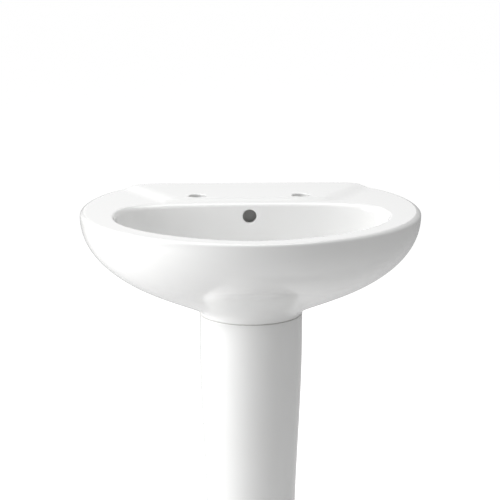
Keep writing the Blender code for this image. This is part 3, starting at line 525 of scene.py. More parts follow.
# %% Sizes of the basin
CHINA = 0.011
INNER_LIP, SIDE_LIP = 0.007, 0.013
LEDGE_RISE = 0.006
basin_low, basin_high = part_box("basin")
HALF_WIDTH, WALL_Y, FRONT_Y = basin_high.x, basin_high.y, basin_low.y
RIM_HEIGHT = basin_high.z - LEDGE_RISE
NECK_FOOT = RIM_HEIGHT - 0.170
WIDEST_Y, REAR_CURVE, CORNER_SOFTNESS, END_SOFTNESS = 0.040, 0.288, 0.050, 0.24
RIM_FRONT, RIM_SIDE, DECK_REAR, BOWL_WIDEST_Y = 0.029, 0.060, 0.155, -0.035
LEDGE_FRONT_HALF, LEDGE_REAR_HALF, LEDGE_FADE = 0.118, 0.200, 0.035
NECK_HALF_WIDTH, NECK_FRONT, NECK_BACK, NECK_Y = 0.0855, 0.080, 0.100, 0.020
NECK_RISE_FRONT, NECK_RISE_SIDE, NECK_ARCH = 0.041, 0.001, 2.2
NECK_LIP = 0.0014  # how far the finished foot reaches down over the strip
BACK_WALL_DROP, BACK_FLAT_HALF_WIDTH, ACCESS_HALF_WIDTH = 0.112, 0.160, 0.150
HOLLOW_FROM_FRONT = 0.060
BOWL_DEPTH, BOSS_R, BOSS_DEPTH = 0.136, 0.036, 0.036
FLOOR_OF_BOWL = RIM_HEIGHT - BOWL_DEPTH
BOSS_FOOT = FLOOR_OF_BOWL - BOSS_DEPTH
waste_low, waste_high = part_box("waste_body")
WASTE_Y = (waste_low.y + waste_high.y) / 2
WASTE_HOLE_R, RECESS_R, RECESS_DEPTH = 0.023, 0.0345, 0.005
SPOKES = 168
print("rim at", round(RIM_HEIGHT, 4), "and bowl's floor at", round(FLOOR_OF_BOWL, 4))

# %% [markdown]
# Three outlines set the plan: the rim, which is an ellipse that the wall cuts off with soft
# corners, the bowl's edge, which is round in front and nearly straight behind, and the neck.

# %% Outlines in plan


def superellipse(angle, half_width, half_front, half_back, front_power, back_power, centre_y):
    """A closed curve whose front and back halves have their own depth and squareness."""
    c, s = math.cos(angle), math.sin(angle)
    power = mix(front_power, back_power, smooth(s, -0.25, 0.25))
    scale = (abs(c) ** power + abs(s) ** power) ** (-1 / power)
    depth = half_back if s > 0 else half_front
    return Vector((half_width * c * scale, centre_y + depth * s * scale))


def rim_outline(angle, inset=0.0):
    c, s = math.cos(angle), math.sin(angle)
    x = (HALF_WIDTH - inset) * c
    y = WIDEST_Y + ((REAR_CURVE if s > 0 else WIDEST_Y - FRONT_Y) - inset) * s
    return Vector((x, soft_min(y, WALL_Y - inset, CORNER_SOFTNESS)))


def opening_outline(angle):
    """The bowl's edge. At its two ends it is the mean of its neighbourhood, so they turn softly."""
    half_front = BOWL_WIDEST_Y - (FRONT_Y + RIM_FRONT)
    half_back = WALL_Y - DECK_REAR - BOWL_WIDEST_Y
    reach = END_SOFTNESS * abs(math.cos(angle)) ** 6
    half = HALF_WIDTH - RIM_SIDE
    near = [
        superellipse(angle + reach * k, half, half_front, half_back, 1.7, 3.7, BOWL_WIDEST_Y)
        for k in (-1, -0.5, 0, 0.5, 1)
    ]
    return sum(near, Vector((0, 0))) / len(near)


def neck_outline(angle, inset=0.0):
    half, front, back = NECK_HALF_WIDTH - inset, NECK_FRONT - inset, NECK_BACK - inset
    return superellipse(angle, half, front, back, 2.0, 5.0, NECK_Y)


def frontness(angle):
    return max(0.0, -math.sin(angle))


def against_wall(angle):
    """1 on the spokes that end on the flat of the back, and 0 on those well clear of it."""
    rim = rim_outline(angle)
    flat = smooth(abs(rim.x), BACK_FLAT_HALF_WIDTH + 0.065, BACK_FLAT_HALF_WIDTH)
    return flat * smooth(rim.y, WALL_Y - 0.060, WALL_Y - 0.0005)


print("bowl's edge at the back, y =", round(opening_outline(math.pi / 2).y, 4))

# %% [markdown]
# The deck is level with the rim, except for a low ledge behind the bowl, where the taps stand. It
# widens towards the wall and melts into the rim at its sides.

# %% Sections of the bowl, the lip and the deck


def inner_lip(angle):
    """The radius of the rounding from the bowl into the deck, softest at the two sides."""
    return mix(INNER_LIP, SIDE_LIP, math.cos(angle) ** 2)


def deck_z(x, y):
    edge = WALL_Y - DECK_REAR + INNER_LIP
    half = mix(LEDGE_FRONT_HALF, LEDGE_REAR_HALF, (y - edge) / (WALL_Y - edge))
    across = smooth(abs(x), half + LEDGE_FADE, half)
    return RIM_HEIGHT + LEDGE_RISE * across * smooth(y, edge, edge + 0.014)


def outer_lip(angle):
    """(width, height) of the rounding from the deck into the body."""
    front, wall = frontness(angle), against_wall(angle)
    return mix(mix(0.010, 0.005, front), 0.004, wall), mix(mix(0.008, 0.0045, front), 0.004, wall)


def waste_ring(radius, angle, z):
    return Vector((radius * math.cos(angle), WASTE_Y + radius * math.sin(angle), z))


def bowl_section(angle, steps):
    start, end = waste_ring(RECESS_R + 0.004, angle, FLOOR_OF_BOWL), opening_outline(angle)
    front = frontness(angle) ** 2
    curve = (
        (0, 1),
        (mix(0.60, 0.52, front), mix(0.985, 0.80, front)),
        (0.985, mix(0.76, 0.60, front)),
        (1, inner_lip(angle) / BOWL_DEPTH),
    )
    points = []
    for out, depth in bent(steps, *curve):
        x, y = mix(start.x, end.x, out), mix(start.y, end.y, out)
        points.append(Vector((x, y, RIM_HEIGHT - depth * BOWL_DEPTH)))
    return points


def lip_section(angle, steps):
    edge, lip = opening_outline(angle), inner_lip(angle)
    outward = (rim_outline(angle) - edge).normalized()
    crest = edge + outward * lip
    points = []
    for i in range(1, steps + 1):
        turn = math.pi / 2 * i / steps
        place = edge + outward * lip * (1 - math.cos(turn))
        points.append(Vector((*place, deck_z(*crest) - lip * (1 - math.sin(turn)))))
    return points


def deck_section(angle, steps, turns):
    edge, rim = opening_outline(angle), rim_outline(angle)
    width, height = outer_lip(angle)
    start, end = edge + (rim - edge).normalized() * inner_lip(angle), rim_outline(angle, width)
    points = []
    for i in range(1, steps + 1):
        place = start.lerp(end, (i / steps) ** 1.5)
        points.append(Vector((*place, deck_z(*place))))
    for i in range(1, turns + 1):
        turn = math.pi / 2 * i / turns
        place = rim_outline(angle, width * (1 - math.sin(turn)))
        points.append(Vector((*place, deck_z(*end) - height * (1 - math.cos(turn)))))
    return points


print("ledge rises", round(deck_z(0, WALL_Y - 0.05) - RIM_HEIGHT, 4))

# %% [markdown]
# The outside falls from the rim in one sweep and then turns up against the neck. Against the wall
# it drops straight, and then slants forward. Where body and neck meet, the points of the section
# are relaxed towards each other, which turns the hollow corner into a soft fillet of glaze.

# %% Sections of the outside
KNEE = 0.625  # where the back's drop ends, along the section


def body_section(angle, steps, inset=0.0):
    top, foot = rim_outline(angle, inset), neck_outline(angle, inset)
    z_top = RIM_HEIGHT - outer_lip(angle)[1]
    front, wall = frontness(angle), against_wall(angle)
    join = NECK_FOOT + mix(NECK_RISE_SIDE, NECK_RISE_FRONT, front**NECK_ARCH) + inset * 0.8
    straight = (BACK_WALL_DROP - outer_lip(angle)[1]) / (z_top - join)
    side = ((1, 0), (1, mix(0.52, 0.46, front)), (0.50, mix(0.76, 0.84, front)), (0, 1))
    points = []
    for i in range(1, steps + 1):
        t = i / steps
        out, drop = bezier(t, *side)
        slant = max(0.0, (t - KNEE) / (1 - KNEE))
        back_drop = mix(straight, 1.0, slant) if slant else straight * t / KNEE
        out, drop = mix(out, 1 - slant, wall), mix(drop, back_drop, wall)
        points.append(Vector((*foot.lerp(top, out), mix(z_top, join, drop))))
    return points


def neck_section(angle, steps, inset=0.0, foot=NECK_FOOT):
    place = neck_outline(angle, inset)
    join = NECK_FOOT + mix(NECK_RISE_SIDE, NECK_RISE_FRONT, frontness(angle) ** NECK_ARCH)
    shoulder = mix(join, NECK_FOOT, 0.30)
    return [Vector((*place, mix(shoulder, foot, i / steps))) for i in range(steps + 1)]


def relax(points, middle, reach, rounds):
    """Draws the points near one of them towards their neighbours' mean, least at the ends."""
    points = list(points)
    for _ in range(rounds):
        for i in range(max(1, middle - reach), min(len(points) - 1, middle + reach + 1)):
            share = 0.5 * (1 - ((i - middle) / (reach + 1)) ** 2) ** 2
            points[i] = points[i].lerp((points[i - 1] + points[i + 1]) / 2, share)
    return points


def outside_section(angle):
    body, neck = body_section(angle, 48), neck_section(angle, 12, foot=NECK_FOOT - NECK_LIP)
    rounds = round(mix(6, 200, smooth(frontness(angle), 0.3, 1.0)))
    return relax(body + neck, len(body) - 3, 16, rounds)


def skin_section(angle):
    bowl, lip = bowl_section(angle, 30), lip_section(angle, 8)
    return bowl + lip + deck_section(angle, 24, 9) + outside_section(angle)


def spokes(section, count=SPOKES):
    return [section(2 * math.pi * i / count) for i in range(count)]


basin = wrapped("basin_china", spokes(skin_section))
basin.data.materials.append(glazed)
print("skin of", len(basin.data.polygons), "faces")

# %% [markdown]
# The skin is still a solid lump. The plaster mould leaves it hollow behind the bowl, open at the
# foot of the neck and open to the wall, so that hands and pipes can get in. The hollow is the
# inside of the body less the outside of the bowl. Only a thin spray of glaze gets in there, and
# the cutter's faces carry that duller finish onto the basin.

# %% Hollow the basin
BELOW = NECK_FOOT - 0.020
HIDDEN_SPOKES = 84


def body_inside_section(angle):
    top = rim_outline(angle, CHINA)
    under_deck = Vector((*top, RIM_HEIGHT - CHINA))
    return [under_deck, *body_section(angle, 20, CHINA), *neck_section(angle, 1, CHINA, BELOW)]


def bowl_outside_section(angle):
    """The hidden side of the bowl, one wall thickness out from its inside."""
    inside = bowl_section(angle, 16)
    points = [waste_ring(BOSS_R - 0.006, angle, FLOOR_OF_BOWL - CHINA)]
    for before, here, after in zip(inside, inside[1:], inside[2:]):
        along = (after - before).normalized()
        flat = Vector((along.x, along.y, 0))
        if flat.length < TINY:
            continue
        normal = flat.normalized() * along.z - Vector((0, 0, flat.length))
        points.append(here + normal.normalized() * CHINA)
    edge = opening_outline(angle)
    crest = edge + (rim_outline(angle) - edge).normalized() * CHINA
    return points + [Vector((*crest, RIM_HEIGHT - drop)) for drop in (INNER_LIP, CHINA / 2)]


def inside_neck_section(angle):
    place = neck_outline(angle, CHINA)
    return [Vector((*place, BELOW - 0.001)), Vector((*place, FLOOR_OF_BOWL + 0.004))]


def rear_access():
    """The flared opening below the back wall."""
    low, high = NECK_FOOT - 0.012, RIM_HEIGHT - BACK_WALL_DROP + 0.008
    narrow, near = NECK_HALF_WIDTH - CHINA, NECK_Y + NECK_BACK - 0.025
    corners = ((-narrow, low), (narrow, low), (ACCESS_HALF_WIDTH, high), (-ACCESS_HALF_WIDTH, high))
    sections = [[Vector((x, y, z)) for y in (near, WALL_Y - CHINA)] for x, z in corners]
    return wrapped("rear_access", sections)


hollow = wrapped("hollow", spokes(body_inside_section, HIDDEN_SPOKES))
rear_low = (-HALF_WIDTH, FRONT_Y + HOLLOW_FROM_FRONT, NECK_FOOT - 0.03)
rear = box("rear", rear_low, (HALF_WIDTH, WALL_Y, RIM_HEIGHT))
carve(hollow, rear, "INTERSECT")
carve(hollow, wrapped("inside_neck", spokes(inside_neck_section, HIDDEN_SPOKES)), "UNION")
carve(hollow, wrapped("bowl_outside", spokes(bowl_outside_section, HIDDEN_SPOKES)))
carve(hollow, rear_access(), "UNION")
hollow.data.materials.clear()
hollow.data.materials.append(thin_glaze)
carve(basin, hollow)
print("hollowed to", len(basin.data.polygons), "faces")

# %% [markdown]
# Water that rises past the overflow hole runs down a flat passage behind the bowl and into the
# slots of the waste. The passage is a flattened tube along a path, made twice: once with its
# walls, joined on, and once as the bore, cut out. The boss under the bowl's floor is joined on
# with it.

# %% Overflow passage and waste boss
OVERFLOW_R, OVERFLOW_DROP = 0.0115, 0.0228
DUCT_WIDTH, DUCT_THICK, DUCT_WALL, DUCT_SET_IN = 0.026, 0.011, 0.008, 0.002
SLOT_RISE = 0.018
opening_back = opening_outline(math.pi / 2).y
overflow_z = RIM_HEIGHT - OVERFLOW_DROP


def overflow_path():
    reach = opening_back + CHINA + DUCT_THICK / 2
    low = BOSS_FOOT + SLOT_RISE
    return [
        Vector((0, reach, overflow_z + OVERFLOW_R + 0.002)),
        Vector((0, reach - 0.001, overflow_z)),
        Vector((0, reach - 0.006, mix(overflow_z, low, 0.35))),
        Vector((0, reach - 0.010, mix(overflow_z, low, 0.70))),
        Vector((0, WASTE_Y + BOSS_R + 0.016, low + 0.010)),
        Vector((0, WASTE_Y + WASTE_HOLE_R - 0.004, low)),
    ]


def duct(name, side_wall, free_wall, bowl_wall, material):
    path = overflow_path()
    half_width, half_thick = DUCT_WIDTH / 2 + side_wall, (DUCT_THICK + free_wall + bowl_wall) / 2
    across, around = Vector((1, 0, 0)), 32
    rings = []
    for i, here in enumerate(path):
        along = (path[min(i + 1, len(path) - 1)] - path[max(i - 1, 0)]).normalized()
        to_bowl = along.cross(across).normalized()
        middle = here + to_bowl * (bowl_wall - free_wall) / 2
        ring = []
        for k in range(around):
            angle = 2 * math.pi * (k + 0.5) / around
            c, s = math.cos(angle), math.sin(angle)
            bulge = (abs(c) ** 4 + abs(s) ** 4) ** -0.25
            ring.append(middle + across * half_width * c * bulge + to_bowl * half_thick * s * bulge)
        rings.append(ring)
    piece = wrapped(name, [list(section) for section in zip(*rings)])
    piece.data.materials.append(material)
    return piece


added = duct("passage_wall", DUCT_WALL, DUCT_WALL, DUCT_SET_IN, thin_glaze)
boss = rod("boss", BOSS_R, BOSS_FOOT, FLOOR_OF_BOWL - CHINA / 2, (0, WASTE_Y, 0))
boss.data.materials.append(thin_glaze)
carve(basin, carve(added, boss, "UNION"), "UNION")
print("passage falls", round(overflow_z - BOSS_FOOT - SLOT_RISE, 4), "m to the waste")

# %% [markdown]
# Holes in china are punched in the soft clay and sponged round, so each has a rolled edge. The
# cutters are turned pieces that flare like a trumpet where they leave the surface. They stop a
# little short of level with it, because a cut that only touches a surface leaves ragged edges.

# %% Cut the holes
TAP_SPACING, TAP_HOLE_R, TAP_FROM_WALL = 0.175, 0.014, 0.117
STUD_SPACING, STUD_DROP, STUD_HOLE_R = 0.240, 0.070, 0.011
TAP_Y, STUD_Z = WALL_Y - TAP_FROM_WALL, RIM_HEIGHT - STUD_DROP
FLARE_STEPS = 7


def flared(name, radius, flare, start, surface, at, along_y=False):
    """A cutter from start that widens by a quarter round just before the surface."""
    sign = 1 if surface > start else -1
    outline = [(0, start), (radius, start)]
    reach = math.radians(72)
    for i in range(FLARE_STEPS + 1):
        turn = reach * i / FLARE_STEPS
        out = radius + flare * (1 - math.cos(turn))
        along = flare * (math.sin(turn) - math.sin(reach))
        outline.append((out, surface + sign * along))
    wide, past = outline[-1][0], surface + sign * 0.006
    outline += [(wide + 0.006 / math.tan(math.pi / 2 - reach), past), (0, past)]
    piece = turned(name, outline, at, along_y, ring=False)
    piece.data.materials.append(glazed)
    return piece


def waste_hole():
    """The hole through the boss, and the shallow seat for the waste's flange."""
    floor, eased = FLOOR_OF_BOWL, 0.0015
    outline = [
        (0, BOSS_FOOT - 0.01),
        (WASTE_HOLE_R, BOSS_FOOT - 0.01),
        (WASTE_HOLE_R, floor - RECESS_DEPTH),
        (RECESS_R, floor - RECESS_DEPTH),
        (RECESS_R, floor - eased),
        (RECESS_R + eased, floor + eased * 0.4),
        (RECESS_R + eased, floor + 0.01),
        (0, floor + 0.01),
    ]
    piece = turned("waste_hole", outline, (0, WASTE_Y, 0), ring=False)
    piece.data.materials.append(glazed)
    return piece


# The bore's faces carry that grey glaze onto the basin, as painted shade inside the passage.
cutters = carve(duct("passage", 0, 0, 0, painted_passage_shade), waste_hole(), "UNION")
overflow_at, behind = (0, 0, overflow_z), opening_back + CHINA + 0.004
overflow = flared("overflow", OVERFLOW_R, 0.0010, behind, opening_back, overflow_at, along_y=True)
carve(cutters, overflow, "UNION")
carve(basin, cutters)
for side in (-1, 1):
    tap_at = (side * TAP_SPACING / 2, TAP_Y, 0)
    surface = RIM_HEIGHT + LEDGE_RISE
    carve(basin, flared("tap_hole", TAP_HOLE_R, 0.0015, surface - 0.035, surface, tap_at))
    stud_at = (side * STUD_SPACING / 2, 0, STUD_Z)
    carve(basin, rod("stud_hole", STUD_HOLE_R, WALL_Y - 0.03, WALL_Y + 0.02, stud_at, along_y=True))
finished(basin, "basin_china", glazed, "sink", "white_china", "basin", crease=38)

# %% [markdown]
# ## The pedestal
# The pedestal is a casting too, open at the back so that it can be slid round the trap. Its plan
# is a U whose ends turn inwards, and it narrows to a waist and spreads again to a foot. The U is
# one closed outline, repeated at many heights, with the sizes taken from an S curve. At the top
# and at the foot the outline shrinks into itself round a quarter circle, which is the rolled edge.

# %% Sizes and outline of the pedestal
PEDESTAL_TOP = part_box("pedestal")[1].z
FOOT_HALF_WIDTH, FOOT_FRONT, FOOT_BACK = 0.104, 0.100, 0.125
WAIST_HALF_WIDTH, WAIST_FRONT, WAIST_BACK, WAIST_HEIGHT = 0.075, 0.070, 0.098, 0.284
SHOULDER_DROP, PLINTH_HEIGHT, RETURN_FLANGE = 0.045, 0.045, 0.022
EDGE_R, TOP_EDGE_R = 0.0025, 0.0014
ARC = 40


def pedestal_sizes(z):
    """(half width, front depth, back depth) at a height."""
    waist = (WAIST_HALF_WIDTH, WAIST_FRONT, WAIST_BACK)
    if z >= WAIST_HEIGHT:
        end, stop = (NECK_HALF_WIDTH, NECK_FRONT, NECK_BACK), PEDESTAL_TOP - SHOULDER_DROP
    else:
        end, stop = (FOOT_HALF_WIDTH, FOOT_FRONT, FOOT_BACK), PLINTH_HEIGHT
    share = smooth(z, WAIST_HEIGHT, stop)
    return tuple(mix(a, b, share) for a, b in zip(waist, end))


def rounded(corner, before, after, radius, steps=4):
    """Points round a corner, on a curve that leaves its two sides at radius from it."""
    a = corner + (before - corner).normalized() * radius
    b = corner + (after - corner).normalized() * radius
    shares = [i / steps for i in range(steps + 1)]
    return [a * (1 - t) ** 2 + corner * 2 * t * (1 - t) + b * t * t for t in shares]


def pedestal_outline(z, inset):
    """The U at a height, from the inner end of the right return round to where it began."""
    half, front, back = pedestal_sizes(z)
    y_out, y_in = NECK_Y + back - inset, NECK_Y + back - CHINA + inset
    end_x = half - CHINA - RETURN_FLANGE + inset
    outer, inner = half - inset, half - CHINA + inset
    outer_front, inner_front = front - inset, front - CHINA + inset
    straight = NECK_Y + back / 2

    def v(x, y):
        return Vector((x, y))

    tip = CHINA / 2 - inset - 0.0001
    points = rounded(v(end_x, y_in), v(inner, y_in), v(end_x, y_out), tip)
    points += rounded(v(end_x, y_out), v(end_x, y_in), v(outer, y_out), tip)
    points += rounded(v(outer, y_out), v(end_x, y_out), v(outer, straight), 0.010, 6)
    points.append(v(outer, straight))
    turns = [math.pi * i / ARC for i in range(ARC // 2 + 1)]
    outside = [v(outer * math.cos(a), NECK_Y - outer_front * math.sin(a)) for a in turns]
    inside = [v(inner * math.cos(a), NECK_Y - inner_front * math.sin(a)) for a in reversed(turns)]
    inside.append(v(inner, straight))
    inside += rounded(v(inner, y_in), v(inner, straight), v(end_x, y_in), 0.006, 4)
    half_round = points + outside
    mirrored = [v(-p.x, p.y) for p in reversed(half_round)]
    inside_mirrored = [v(-p.x, p.y) for p in reversed(inside)]
    return half_round + mirrored[1:] + inside_mirrored + inside[1:]


print("outline of", len(pedestal_outline(0.3, 0)), "points")

# %% Wrap the pedestal
LEVELS = 44
EDGE_STEPS = 5


def pedestal_levels():
    """(height, inset) from the foot to the top, with the two rolled edges."""
    curl = [(1 - math.sin(a), 1 - math.cos(a)) for a in quarter(EDGE_STEPS)]
    foot = [(EDGE_R * h, EDGE_R * inset) for h, inset in reversed(curl)]
    top = [(PEDESTAL_TOP - TOP_EDGE_R * h, TOP_EDGE_R * inset) for h, inset in curl]
    low, high = EDGE_R, PEDESTAL_TOP - TOP_EDGE_R
    return foot + [(mix(low, high, i / LEVELS), 0.0) for i in range(1, LEVELS)] + top


rings = [
    [Vector((*point, z)) for point in pedestal_outline(z, inset)]
    for z, inset in pedestal_levels()
]
pedestal = wrapped("pedestal_china", [list(section) for section in zip(*rings)])
pedestal.data.materials.append(glazed)
print("pedestal of", len(pedestal.data.polygons), "faces")

# %% [markdown]
# Two lugs stand on the floor inside the foot, each with a hole for a floor screw. They are blocks
# with eased edges, joined on. The faces of the hollow side get the thin glaze, and the ring that
# stood on the kiln shelf stays bare, so those faces are picked by their height and direction.

# %% Lugs, bare foot and hollow side
LUG_THICK, LUG_REACH = 0.014, 0.034
seat_low, seat_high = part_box("floor_screw_seat_right")
LUG_X, LUG_Y = (seat_low.x + seat_high.x) / 2, (seat_low.y + seat_high.y) / 2
for side in (-1, 1):
    x, reach = side * LUG_X, LUG_REACH / 2
    lug_low = (x - reach - 0.002, LUG_Y - reach, 0.0)
    lug_high = (x + reach + 0.002, LUG_Y + reach + 0.002, LUG_THICK)
    lug = box("lug", lug_low, lug_high, eased=0.002)
    lug.data.materials.append(thin_glaze)
    carve(pedestal, lug, "UNION")
    hole = rod("lug_hole", 0.004, -0.01, LUG_THICK + 0.01, (x, LUG_Y, 0), steps=32)
    hole.data.materials.append(thin_glaze)
    carve(pedestal, hole)


def finish_number(piece, material):
    """The piece's slot for a material, added if it has none."""
    names = [m.name for m in piece.data.materials]
    if material.name not in names:
        piece.data.materials.append(material)
    return [m.name for m in piece.data.materials].index(material.name)


thin_number, bare_number = finish_number(pedestal, thin_glaze), finish_number(pedestal, bare)
for face in pedestal.data.polygons:
    half, front, back = pedestal_sizes(face.center.z)
    wall = CHINA * 0.55
    dx, dy = face.center.x / (half - wall), (face.center.y - NECK_Y) / (front - wall)
    if dy < 0:
        hidden = dx * dx + dy * dy < 1
    else:
        hidden = abs(dx) < 1 and face.center.y < NECK_Y + back - wall
    if face.center.z < EDGE_R * 0.5 and face.normal.z < -0.3:
        face.material_index = bare_number
    elif hidden:
        face.material_index = thin_number
finished(pedestal, "pedestal_china", glazed, "sink", "white_china", "pedestal", crease=38)

# %% [markdown]
# A soft strip beds the basin's neck on the pedestal. It is a rounded bead swept round the U.

# %% Strip between basin and pedestal
strip_low, strip_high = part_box("pedestal_seal")
STRIP_SET_IN = 0.0032


def strip_ring(share):
    """A point and the way out from the strip's middle line, at a share of its length."""
    straight = (strip_high.y - NECK_Y) / (strip_high.y - NECK_Y + 0.12)
    half, front = NECK_HALF_WIDTH - STRIP_SET_IN, NECK_FRONT - STRIP_SET_IN
    end = strip_high.y - 0.0005
    if share < straight or share > 1 - straight:
        side = 1 if share < straight else -1
        along = share / straight if side > 0 else (1 - share) / straight
        return Vector((side * half, mix(end, NECK_Y, along), 0)), Vector((side, 0, 0))
    angle = math.pi * (share - straight) / (1 - 2 * straight)
    out = Vector((math.cos(angle) * front, -math.sin(angle) * half, 0)).normalized()
    return Vector((half * math.cos(angle), NECK_Y - front * math.sin(angle), 0)), out


STRIP_STEPS, STRIP_SIDES = 120, 14
STRIP_HALF_THICK = 0.0024


def strip_section(k, around=STRIP_SIDES):
    """One line of points along the strip, at a place round its section."""
    angle = 2 * math.pi * k / around
    height = (strip_high.z - strip_low.z) / 2
    c, s = math.cos(angle), math.sin(angle)
    bulge = (abs(c) ** 3 + abs(s) ** 3) ** (-1 / 3)
    points = []
    for i in range(STRIP_STEPS + 1):
        place, out = strip_ring(i / STRIP_STEPS)
        taper = min(1.0, math.sqrt(max(0.02, min(i, STRIP_STEPS - i) / 2)))
        z = (strip_low.z + strip_high.z) / 2 + height * s * bulge * taper
        points.append(place + out * STRIP_HALF_THICK * c * bulge * taper + Vector((0, 0, z)))
    return points


strip = wrapped("bedding_strip", [strip_section(k) for k in range(STRIP_SIDES)])
finished(strip, "bedding_strip", foam, "sink", "grey_foam", "pedestal_seal")

# %% [markdown]
# ## Screws, studs and washers
# Plain rings repeat all over the sink, as washers and seals. Each takes its place and its outer
# size from the CAD box, and only its bore has to be given. A washer is stamped, so its edges are
# barely eased, and a rubber seal is rounder.

# %% Rings


def ring_on(node, name, bore, material, slot, body="sink", eased=0.0004, along_y=False):
    low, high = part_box(node)
    centre = (low + high) / 2
    outer = (high.x - low.x) / 2
    span = (low.y, high.y) if along_y else (low.z, high.z)
    at = (centre.x, 0, centre.z) if along_y else (centre.x, centre.y, 0)
    piece = turned(name, tube_outline(bore, outer, *span), at, along_y)
    return finished(ease(piece, eased), name, material, body, slot, node)


GAP = 0.0003
pipe_low, pipe_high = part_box("waste_pipe")
PIPE_R = (pipe_high.x - pipe_low.x) / 2
PIPE_WALL, STUD_R, SCREW_R, TAIL_R = 0.0018, 0.005, 0.003, 0.0222
plunger_low, plunger_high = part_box("plug_plunger")
PLUNGER_R, PLUG_R = 0.0035, 0.0285
CUP_SEAL_BORE = 0.0313
ring_on("waste_top_seal", "waste_top_seal_ring", WASTE_HOLE_R + 0.0005, rubber, "black_rubber")
ring_on("waste_slip_washer", "slip_washer", TAIL_R + GAP, plastic, "white_plastic")
ring_on("cartridge_collar", "cartridge_ring", PLUNGER_R + GAP, plastic, "white_plastic")
for node, bore, body, eased, along_y in (
    ("trap_inlet_washer", PIPE_R - PIPE_WALL, "sink", 0.0008, False),
    ("trap_cup_seal", CUP_SEAL_BORE, "trap_cup", 0.0007, False),
    ("plug_seal", PLUNGER_R + 0.0035, "plug", 0.0007, False),
    ("trap_outlet_seal", PIPE_R + GAP, "sink", 0.0008, True),
):
    name = f"{node.replace('washer', 'seal')}_ring"
    ring_on(node, name, bore, rubber, "black_rubber", body, eased, along_y)
for name in ("left", "right"):
    washer, seat = f"stud_washer_{name}", f"screw_seat_{name}"
    ring_on(f"wall_washer_{name}", washer, STUD_R + GAP, zinc, "zinc_steel", along_y=True)
    ring_on(f"floor_screw_seat_{name}", seat, SCREW_R + GAP, plastic, "white_plastic")

# %% [markdown]
# A thread is drawn as a row of ridges, one pitch apart, cut into the rod and never standing out of
# it. At this size the eye can't tell ridges from a helix, and they keep the rod closed and simple.

# %% Threads and studs


def thread(radius, low, high, pitch, depth):
    """Outline points of a thread, from low to high, inside radius."""
    count = max(1, round(abs(high - low) / pitch))
    points = []
    for i in range(count):
        start, end = mix(low, high, i / count), mix(low, high, (i + 1) / count)
        for share, drop in ((0.0, depth), (0.38, 0.0), (0.62, 0.0)):
            points.append((radius - drop, mix(start, end, share)))
    return points + [(radius - depth, high)]


for name in ("left", "right"):
    low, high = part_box(f"wall_stud_{name}")
    at = ((low.x + high.x) / 2, 0, (low.z + high.z) / 2)
    radius = (high.x - low.x) / 2
    ridges = thread(radius, low.y + 0.001, high.y - 0.001, 0.0015, 0.0006)
    outline = [(0, low.y), (radius - 0.001, low.y), *ridges, (radius - 0.0008, high.y), (0, high.y)]
    stud = turned(f"stud_{name}", outline, at, along_y=True, steps=32, ring=False)
    finished(stud, f"stud_{name}", zinc, "sink", "zinc_steel", f"wall_stud_{name}", crease=25)
    low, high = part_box(f"wall_bush_{name}")
    bore, outer, sleeve = STUD_R + GAP, (high.x - low.x) / 2, STUD_HOLE_R - GAP
    brim_y = low.y + 0.003
    outline = [
        (bore, low.y), (outer, low.y), (outer, brim_y), (sleeve, brim_y), (sleeve, high.y),
        (bore, high.y),
    ]
    bush = ease(turned(f"bush_{name}", outline, at, along_y=True), 0.0005)
    finished(bush, f"bush_{name}", nylon, "sink", "nylon", f"wall_bush_{name}")

# %% [markdown]
# A hexagon nut is a six-sided block. Its corners are turned off to a cone at both faces, which is
# what leaves the curved edges on its flats. So the block is cut by a turned shape, and then bored.

# %% Hexagon nuts


def hex_nut(name, node, flats, bore, material, slot, along_y=False, pitch=0.0015):
    low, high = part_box(node)
    centre = (low + high) / 2
    span = (low.y, high.y) if along_y else (low.z, high.z)
    at = (centre.x, 0, centre.z) if along_y else (centre.x, centre.y, 0)
    height, corner = span[1] - span[0], flats / math.sqrt(3)
    deselect()
    bpy.ops.mesh.primitive_cylinder_add(vertices=6, radius=corner, depth=height, location=centre)
    nut = bpy.context.object
    if along_y:
        bpy.ops.transform.rotate(value=math.pi / 2, orient_axis="X", center_override=centre)
    bpy.ops.object.transform_apply(location=True, rotation=True, scale=True)
    if min(v.co.x for v in nut.data.vertices) < low.x - 1e-5:
        print(name, "is turned by half a side")
        axis = "Y" if along_y else "Z"
        bpy.ops.transform.rotate(value=math.pi / 6, orient_axis=axis, center_override=centre)
        bpy.ops.object.transform_apply(location=True, rotation=True, scale=True)
    face_r = flats / 2 * 0.97
    drop = (corner - face_r) * 0.5
    turned_off = [
        (0, span[0]), (face_r, span[0]), (corner, span[0] + drop), (corner, span[1] - drop),
        (face_r, span[1]), (0, span[1]),
    ]
    carve(nut, turned("turned_off", turned_off, at, along_y, ring=False), "INTERSECT")
    lead = 0.0008
    bored = [(0, span[0] - 0.002), (bore + lead + 0.002, span[0] - 0.002), (bore, span[0] + lead)]
    bored += thread(bore + 0.0004, span[0] + lead, span[1] - lead, pitch, 0.0004)
    bored += [(bore + lead + 0.002, span[1] + 0.002), (0, span[1] + 0.002)]
    carve(nut, turned("bored", bored, at, along_y, ring=False))
    return finished(nut, name, material, "sink", slot, node, crease=25)


STUD_NUT, BACKNUT = 0.017, 0.060  # across the flats
for name in ("left", "right"):
    nut, node = f"stud_nut_{name}", f"wall_nut_{name}"
    hex_nut(nut, node, STUD_NUT, STUD_R + GAP, zinc, "zinc_steel", along_y=True)
hex_nut("backnut", "waste_backnut", BACKNUT, TAIL_R + GAP, brass, "brass", pitch=0.002)

# %% [markdown]
# ## Floor screws
# Each screw goes through a plastic seat, a lug and into the floor, and a dome cap snaps over the
# seat to hide it. The screw has a pan head with a cross recess, which is four tapered slots cut
# by two crossed blocks.

